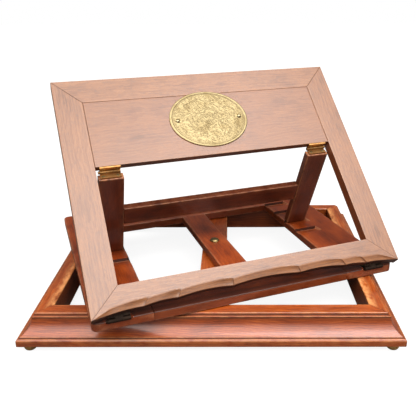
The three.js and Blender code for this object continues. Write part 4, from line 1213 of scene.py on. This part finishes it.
@dataclass
class Panel:
    """The mitred frame with its scalloped front edge, the board, the plaque and the hinges' upper halves."""

    frame: Array
    hinges: HingeSet
    width: float = 387.6
    length: float = 310.6
    thickness: float = 14.2
    rail_width: float = 34.3
    board_thickness: float = 9.0
    window_top: float = 182.2
    mitre_gap: float = 0.15
    play: float = PLAY
    arris: float = 0.8
    lobe_ends: tuple[float, ...] = (-1, -0.72, -0.515, -0.16, 0.315, 0.645, 0.795, 1)
    cusp_recess: tuple[float, ...] = (0.8, 6.5, 8.5, 9.6, 9.5, 7.3, 5.3, 0.8)
    scoop_ratio: float = 0.034
    bevel_width: float = 8.0
    bevel_drop: float = 3.3
    hollow: float = 0.6
    hinge_place: float = HINGE_PLACE
    plaque_place: tuple[float, float] = (-1.7, 236.2)
    plaque_size: tuple[float, float, float] = (106.8, 85.6, 1.4)
    plaque_screw_spacing: float = 85.2

    def build(self) -> None:
        """Makes the frame, the board, the plaque and the hinges' upper halves."""
        self.build_bottom_rail()
        self.build_plain_rails()
        self.build_board()
        self.build_plaque()
        for side in Side:
            self.build_hinges(side)

    def build_plain_rails(self) -> None:
        """The two stiles and the top rail."""
        w, t, r = self.rail_width, self.thickness, self.arris
        section = section_of([(0, 0, r), (w, 0, r), (w, t, r * 0.5), (0, t, r)], 5.0)
        sides = [
            ("panel_right_stile", self.length, (self.width / 2, self.length / 2), 90),
            ("panel_top_rail", self.width, (0, self.length), 180),
            ("panel_left_stile", self.length, (-self.width / 2, self.length / 2), 270),
        ]
        for name, length, (x, y), turn in sides:
            end = length / 2 - section[:, 0] - self.mitre_gap
            skin = carried(section, -end, end, 5.0, 0.25, True)
            place = self.frame @ moved(x, y) @ turned("Z", turn)
            rail = make_object(f"{name}_board", skin, place, STILE_WOOD, tree_offset())
            settle(rail, Body.PANEL, STILE_WOOD, name)

    def lobe_lines(self, ends: Array) -> Array:
        """The bottom rail's rings as shares of its half width: even in each lobe and tight at its ends."""
        half = self.width / 2
        even = np.linspace(0, 1, 15)
        shares = [even * (b - a) + a for a, b in zip(ends[:-1], ends[1:])]
        shares += [cusp - np.array([0.9, 0.45, 0.0, -0.7]) / half for cusp in ends[1:-1]]
        near = np.array([0.0, 0.25, 0.7, 1.5, 3.0]) / half
        return np.unique(np.round(np.concatenate([*shares, near - 1, 1 - near]), 6))

    def bottom_rail(self) -> Skin:
        """The scalloped bottom rail, each ring a section through it.

        Each lobe's front edge is a shallow scoop, 4*t*(1 - t) across the lobe over the straight line between
        its cusps. A hollow facet runs along it, which widens and deepens to the lobe's right end and stops there
        in a small shoulder. A ring runs over the top, down the facet and the nose and back along the underside.
        """
        half, w, thickness = self.width / 2, self.rail_width, self.thickness
        ends, cusps = np.array(self.lobe_ends), np.array(self.cusp_recess)
        s = self.lobe_lines(ends)
        lobe = np.clip(np.searchsorted(ends, s, side="left"), 1, len(ends) - 1)
        reach = (ends[lobe] - ends[lobe - 1]) * half
        t = (s - ends[lobe - 1]) / (ends[lobe] - ends[lobe - 1])
        front = cusps[lobe - 1] * (1 - t) + cusps[lobe] * t + self.scoop_ratio * reach * 4 * t * (1 - t)
        to_shoulder = reach * (1 - t)
        deep = smooth(0.4, 1.0, t) * smooth(0.0, 1.4, to_shoulder)
        fade = np.clip((1 - np.abs(s)) / 0.07, 0.05, 1)
        wide = self.bevel_width * (0.86 + 0.14 * deep) * fade
        drop = self.bevel_drop * (0.62 + 0.38 * deep) * fade
        hollow = self.hollow * (0.15 + 0.85 * deep) * fade
        front, wide, drop, hollow = (line[:, None] for line in (front, wide, drop, hollow))
        ones = np.ones_like(front)
        edge = thickness - drop
        facet = 1 - np.linspace(0, 1, 8)
        top_y = front + wide + (w - 0.9 - front - wide) * np.array([1.0, 0.8, 0.55, 0.35, 0.2, 0.1])
        facet_y = front + 0.5 + (wide - 0.5) * facet
        facet_z = thickness - drop * (1 - facet) - 4 * facet * (1 - facet) * hollow
        nose_y = front + np.array([0.2, 0.0, 0.0, 0.0, 0.0, 0.0, 0.25, 0.8])
        nose_z = np.concatenate([edge - [0.15, 0.6], edge * [0.75, 0.5, 0.25], ones * [0.9, 0.25, 0.0]], 1)
        under_y = front + (w - 0.8 - front) * np.array([0.15, 0.4, 0.65, 0.85])
        back_y = ones * [w - 0.8, w, w, w, w, w - 0.1]
        back_z = ones * [0, 0, 0, 0, 0, 0.8, 5.0, 9.5, thickness - 0.5, thickness - 0.1]
        y = np.concatenate([top_y, facet_y, nose_y, under_y, back_y], 1)
        z = np.concatenate([ones * thickness * np.ones(6), facet_z, nose_z, back_z], 1)
        rings = np.stack([s[:, None] * (half - y - self.mitre_gap), y, z], -1)
        facet_start, nose_start, under_start = 6, 14, 22
        worn, grime_and_shade = np.zeros_like(y), np.zeros_like(y)
        worn[:, nose_start - 1:nose_start + 1] = 0.6
        worn[:, facet_start] = 0.25
        worn[:, -2:] = 0.5
        # Painted shade on the facet beside each shoulder and on the nose's front face, which looks down into
        # shadow.
        beside = (1 - smooth(0.4, 3.2, to_shoulder)) * (to_shoulder > 0.2) * 0.35
        grime_and_shade[:, facet_start:nose_start] = beside[:, None]
        grime_and_shade[:, nose_start + 1:under_start] = 0.85
        return Skin.of_rings(rings, worn, grime_and_shade)

    def build_bottom_rail(self) -> None:
        """The bottom rail with its hinges' pockets."""
        offset = tree_offset()
        rail = make_object("panel_bottom_rail_carved", self.bottom_rail(), self.frame, STILE_WOOD, offset)
        pockets = [
            box_skin(low, high).placed(moved(side.value * self.hinge_place) @ turned("Y", 180))
            for side in Side for low, high in hinge_pockets(False)
        ]
        cut_out(rail, pockets, self.frame, offset)
        settle(rail, Body.PANEL, STILE_WOOD, "panel_bottom_rail")

    def build_board(self) -> None:
        """The board let into the upper half of the frame."""
        side = self.width / 2 - self.rail_width - self.play
        top = self.length - self.rail_width - self.play
        size = (2 * side, top - self.window_top, self.board_thickness)
        place = self.frame @ moved(0, (top + self.window_top) / 2, self.thickness - self.board_thickness / 2)
        board = make_object("panel_board_let_in", plank(size, 0.5, 7.0), place, BOARD_WOOD, tree_offset())
        settle(board, Body.PANEL, BOARD_WOOD, "panel_board")

    def build_plaque(self) -> None:
        """The oval plaque: rings from the middle to the rim over the whole oval.

        The ground is ridged noise, 1 - |noise|, warped by slower noise, so that it reads as dense engraving. A
        plain raised border runs round it, and the edge turns down to the board.
        """
        width, length, thick = self.plaque_size
        field_edge, border_edge, border_rows = 0.93, 0.984, slice(90, 98)
        rim = [0.938, 0.946, 0.955, 0.965, 0.975, border_edge, 0.992, 0.998, 1.0]
        radius = np.concatenate([np.linspace(0.002, field_edge, 96), rim, [1.0, 0.997, 0.6, 0.002]])
        angles = np.linspace(0, 2 * math.pi, 300, endpoint=False)
        x = radius[:, None] * np.cos(angles)[None] * width / 2
        y = radius[:, None] * np.sin(angles)[None] * length / 2
        bend_x, bend_y = value_noise(x / 9, y / 9, 3) * 6, value_noise(x / 9 + 40, y / 9, 4) * 6
        lines = 1 - np.abs(value_noise((x + bend_x) / 2.0, (y + bend_y) / 2.0, 5))
        fine = 1 - np.abs(value_noise((x - bend_y) / 1.1, (y + bend_x) / 1.1, 6))
        relief = smooth(0.45, 1.0, lines) * 0.6 + smooth(0.4, 1.0, fine) * 0.4
        ground = 1 - smooth(0.905, field_edge, radius)[:, None]
        border = smooth(field_edge, 0.946, radius) * (1 - smooth(border_edge, 1.0, radius))
        z = thick - 0.45 + 0.38 * relief * ground + 0.42 * border[:, None] * np.ones_like(x)
        z[-4:-3] = 0.25
        z[-3:] = 0.0
        rings = np.stack([x, y, z], -1)
        grime_and_shade = (1 - relief) * ground * 0.5
        grime_and_shade[border_rows] = np.maximum(grime_and_shade[border_rows], 0.35)
        skin = Skin.of_rings(rings, 0.0, grime_and_shade)
        place = self.frame @ moved(*self.plaque_place, self.thickness + self.play)
        plate = make_object("plaque_engraved", skin, place, PLAQUE_BRASS)
        settle(plate, Body.PANEL, PLAQUE_BRASS, "plaque")
        for side in Side:
            x_screw = side.value * self.plaque_screw_spacing / 2
            spin = turned("Z", float(DRAWS.uniform(0, 180)))
            head = place @ moved(x_screw, 0, thick + 0.05) @ spin
            name = f"plaque_screw_{side.word}"
            screw = make_object(f"{name}_round", screw_skin(3.2, 1.9, 0.1, 1.5, 7.0, 0.38), head, SCREW_BRASS)
            settle(screw, Body.PANEL, SCREW_BRASS, name)

    def build_hinges(self, side: Side) -> None:
        """One front hinge's upper leaf, and one prop hinge's board leaf and pin."""
        front, prop = f"front_hinge_{side.word}_upper", f"prop_hinge_{side.word}"
        self.hinges.leaf(f"{front}_leaf", Body.PANEL, TARNISH_AND_SHADE_BRASS)
        self.hinges.screws(front, Body.PANEL, self.frame @ turned("X", 180))
        self.hinges.leaf(f"{prop}_board_leaf", Body.PANEL, DARK_BRASS)
        self.hinges.leaf(f"{prop}_pin", Body.PANEL, DARK_BRASS)
        self.hinges.screws(f"{prop}_board", Body.PANEL, self.frame @ turned("X", 90))


# ---------------------------------------------------------------- prop


@dataclass
class Prop:
    """The hinged H that holds the panel up: two legs and a cross rail."""

    frame: Array
    hinges: HingeSet
    outside: float = 157.1
    leg_width: float = 31.0
    leg_thickness: float = 10.3
    reach: float = 136.8
    back: float = 1.0
    top: float = 2.6
    rail_start: float = 58.0
    rail_height: float = 28.4
    rail_recess: float = 1.0
    tenon: tuple[float, float] = (16.0, 4.0)
    play: float = PLAY

    def build(self) -> None:
        """Makes the legs, the cross rail and the prop hinges' lower halves."""
        middle = self.back + self.leg_thickness / 2
        length = self.reach - self.top
        for side in Side:
            x = side.value * (self.outside - self.leg_width / 2)
            place = self.frame @ moved(x, -(self.reach + self.top) / 2, middle) @ turned("Z", 90)
            skin = plank((length, self.leg_width, self.leg_thickness), 0.9)
            at_top = skin.points[:, 0] > length / 2 - 1.2
            skin.worn = np.maximum(skin.worn, at_top * 1.5)
            name = f"prop_{side.word}_leg"
            leg = make_object(f"{name}_board", skin, place, LEG_WOOD, tree_offset())
            settle(leg, Body.PROP, LEG_WOOD, name)
            leaf = f"prop_hinge_{side.word}_leg"
            self.hinges.leaf(f"{leaf}_leaf", Body.PROP, DARK_BRASS)
            self.hinges.screws(leaf, Body.PROP, self.frame @ turned("X", -90))
        inside = self.outside - self.leg_width
        y = -self.rail_start - self.rail_height / 2
        rail = plank((2 * (inside - self.play), self.rail_height, self.leg_thickness - self.rail_recess), 0.9)
        rail = rail.placed(moved(z=-self.rail_recess / 2))
        reach = self.leg_width + self.play + 0.1
        tenons = [
            plank((reach, *self.tenon), 0.2).placed(moved(side.value * (inside - self.play + reach / 2)))
            for side in Side
        ]
        place = self.frame @ moved(0, y, middle)
        cross = make_object("prop_cross_rail_board", rail.joined(*tenons), place, LEG_WOOD, tree_offset())
        settle(cross, Body.PROP, LEG_WOOD, "prop_cross_rail")


# ---------------------------------------------------------------- studio


@dataclass(frozen=True)
class Studio:
    """The camera, the sky, the soft box and the pale floor."""

    eye: tuple[float, float, float] = (22.8, -699.5, 388.2)
    pitch: float = 21.57
    yaw: float = -0.39
    roll: float = -0.29
    lens: float = 46.72
    shift: tuple[float, float] = (-0.0456, -0.0124)
    sky_axis: tuple[float, float, float] = (0.0, -0.447, 0.894)
    sky_edge: tuple[float, float] = (0.55, 0.96)
    sky_low: float = 0.12
    sky_high: float = 3.15
    lamp_place: tuple[float, float, float] = (0.75, -0.55, 1.75)
    lamp_target: tuple[float, float, float] = (0.0, 0.0, 0.1)
    lamp_size: tuple[float, float] = (1.6, 1.2)
    lamp_power: float = 20.0
    floor_width: float = 12.0

    def build(self) -> None:
        """Sets up everything round the stand."""
        bpy.context.scene.view_settings.view_transform = "Standard"
        self.build_camera()
        self.build_sky()
        self.build_lamp()
        self.build_floor()

    def build_camera(self) -> None:
        """A camera that looks a little down on the stand from the reader's side."""
        data = bpy.data.cameras.new("camera")
        data.sensor_width, data.lens = 36.0, self.lens
        data.shift_x, data.shift_y = self.shift
        data.clip_start, data.clip_end = 0.01, 50.0
        camera = linked("camera", data)
        camera.location = Vector(self.eye) * METRES
        pitch, yaw = math.radians(self.pitch), math.radians(self.yaw)
        way = Vector((math.sin(yaw) * math.cos(pitch), math.cos(yaw) * math.cos(pitch), -math.sin(pitch)))
        turn = way.to_track_quat("-Z", "Y") @ Euler((0, 0, math.radians(self.roll))).to_quaternion()
        camera.rotation_mode = "QUATERNION"
        camera.rotation_quaternion = turn
        bpy.context.scene.camera = camera

    def build_sky(self) -> None:
        """A sky that is bright overhead and dim at the horizon, and plain white behind the stand."""
        world = bpy.data.worlds.new("sky")
        world.use_nodes = True
        bpy.context.scene.world = world
        bench = NodeBench(world.node_tree)
        way = bench.node("ShaderNodeTexCoord", {}, {}).outputs["Generated"]
        facing = bench.node("ShaderNodeVectorMath", {"operation": "DOT_PRODUCT"}, {0: way, 1: self.sky_axis})
        bright = Signal(bench, facing.outputs["Value"]).between(*self.sky_edge)
        strength = bright * (self.sky_high - self.sky_low) + self.sky_low
        glow = bench.node("ShaderNodeBackground", {}, {"Color": paint(255, 252, 248), "Strength": strength})
        white = bench.node("ShaderNodeBackground", {}, {"Color": (1, 1, 1, 1), "Strength": 1.0})
        seen = bench.node("ShaderNodeLightPath", {}, {}).outputs["Is Camera Ray"]
        both = bench.node("ShaderNodeMixShader", {}, {0: seen, 1: glow.outputs[0], 2: white.outputs[0]})
        bench.node("ShaderNodeOutputWorld", {}, {"Surface": both.outputs[0]})

    def build_lamp(self) -> None:
        """One big soft box above and in front of the stand."""
        data = bpy.data.lights.new("soft_box", "AREA")
        data.shape, data.energy = "RECTANGLE", self.lamp_power
        data.size, data.size_y = self.lamp_size
        lamp = linked("soft_box", data)
        lamp.location = self.lamp_place
        lamp.rotation_mode = "QUATERNION"
        lamp.rotation_quaternion = (Vector(self.lamp_target) - lamp.location).to_track_quat("-Z", "Y")

    def build_floor(self) -> None:
        """A pale floor, mostly self-lit so that it stays white under the stand."""
        half = self.floor_width / 2
        mesh = bpy.data.meshes.new("floor")
        corners = [(-half, -half, 0), (half, -half, 0), (half, half, 0), (-half, half, 0)]
        mesh.from_pydata(corners, [], [(0, 1, 2, 3)])
        made = bpy.data.materials.new("floor_paper")
        made.use_nodes = True
        bench = NodeBench(made.node_tree)
        dim = bench.node("ShaderNodeBsdfDiffuse", {}, {"Color": (0.12, 0.1, 0.09, 1)})
        pale = bench.node("ShaderNodeBsdfDiffuse", {}, {"Color": (0.2, 0.2, 0.2, 1)})
        glow = bench.node("ShaderNodeEmission", {}, {"Color": (1, 1, 1, 1), "Strength": 0.9})
        white = bench.node("ShaderNodeAddShader", {}, {0: pale.outputs[0], 1: glow.outputs[0]})
        seen = bench.node("ShaderNodeLightPath", {}, {}).outputs["Is Camera Ray"]
        both = bench.node("ShaderNodeMixShader", {}, {0: seen, 1: dim.outputs[0], 2: white.outputs[0]})
        bench.node("ShaderNodeOutputMaterial", {}, {"Surface": both.outputs[0]})
        mesh.materials.append(made)
        linked("floor", mesh)


# ---------------------------------------------------------------- main


def joint_point(joints: list[dict], name: str) -> Array:
    """A joint's point in the row frame, in millimetres."""
    return np.array(next(joint["pos_m"] for joint in joints if joint["name"] == name), float) / METRES


def main() -> None:
    """Loads the model and dresses it."""
    logging.basicConfig(level=logging.INFO, format="%(message)s")
    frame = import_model()
    joints, nodes = frame["joints"], frame["nodes"]
    swivel, tilt, swing = (joint_point(joints, name) for name in ("swivel", "panel_tilt", "prop_swing"))
    turn_axis = next(joint["axis"] for joint in joints if joint["name"] == "panel_tilt")
    turn = math.degrees(math.atan2(turn_axis[1], turn_axis[0]))
    middle = moved(swivel[0], swivel[1])
    turned_frame = middle @ turned("Z", turn) @ moved(0, SET_BACK, tilt[2])
    panel_frame = moved(*tilt) @ turned("Z", turn) @ turned("X", PANEL_ANGLE)
    prop_frame = moved(*swing) @ turned("Z", turn) @ turned("X", PANEL_ANGLE + PROP_ANGLE)
    hinges = HingeSet(nodes)
    Studio().build()
    Base(middle, turntable_top=float(tilt[2])).build()
    Turntable(turned_frame, hinges).build()
    Panel(panel_frame, hinges).build()
    Prop(prop_frame, hinges).build()


if __name__ == "__main__":
    main()
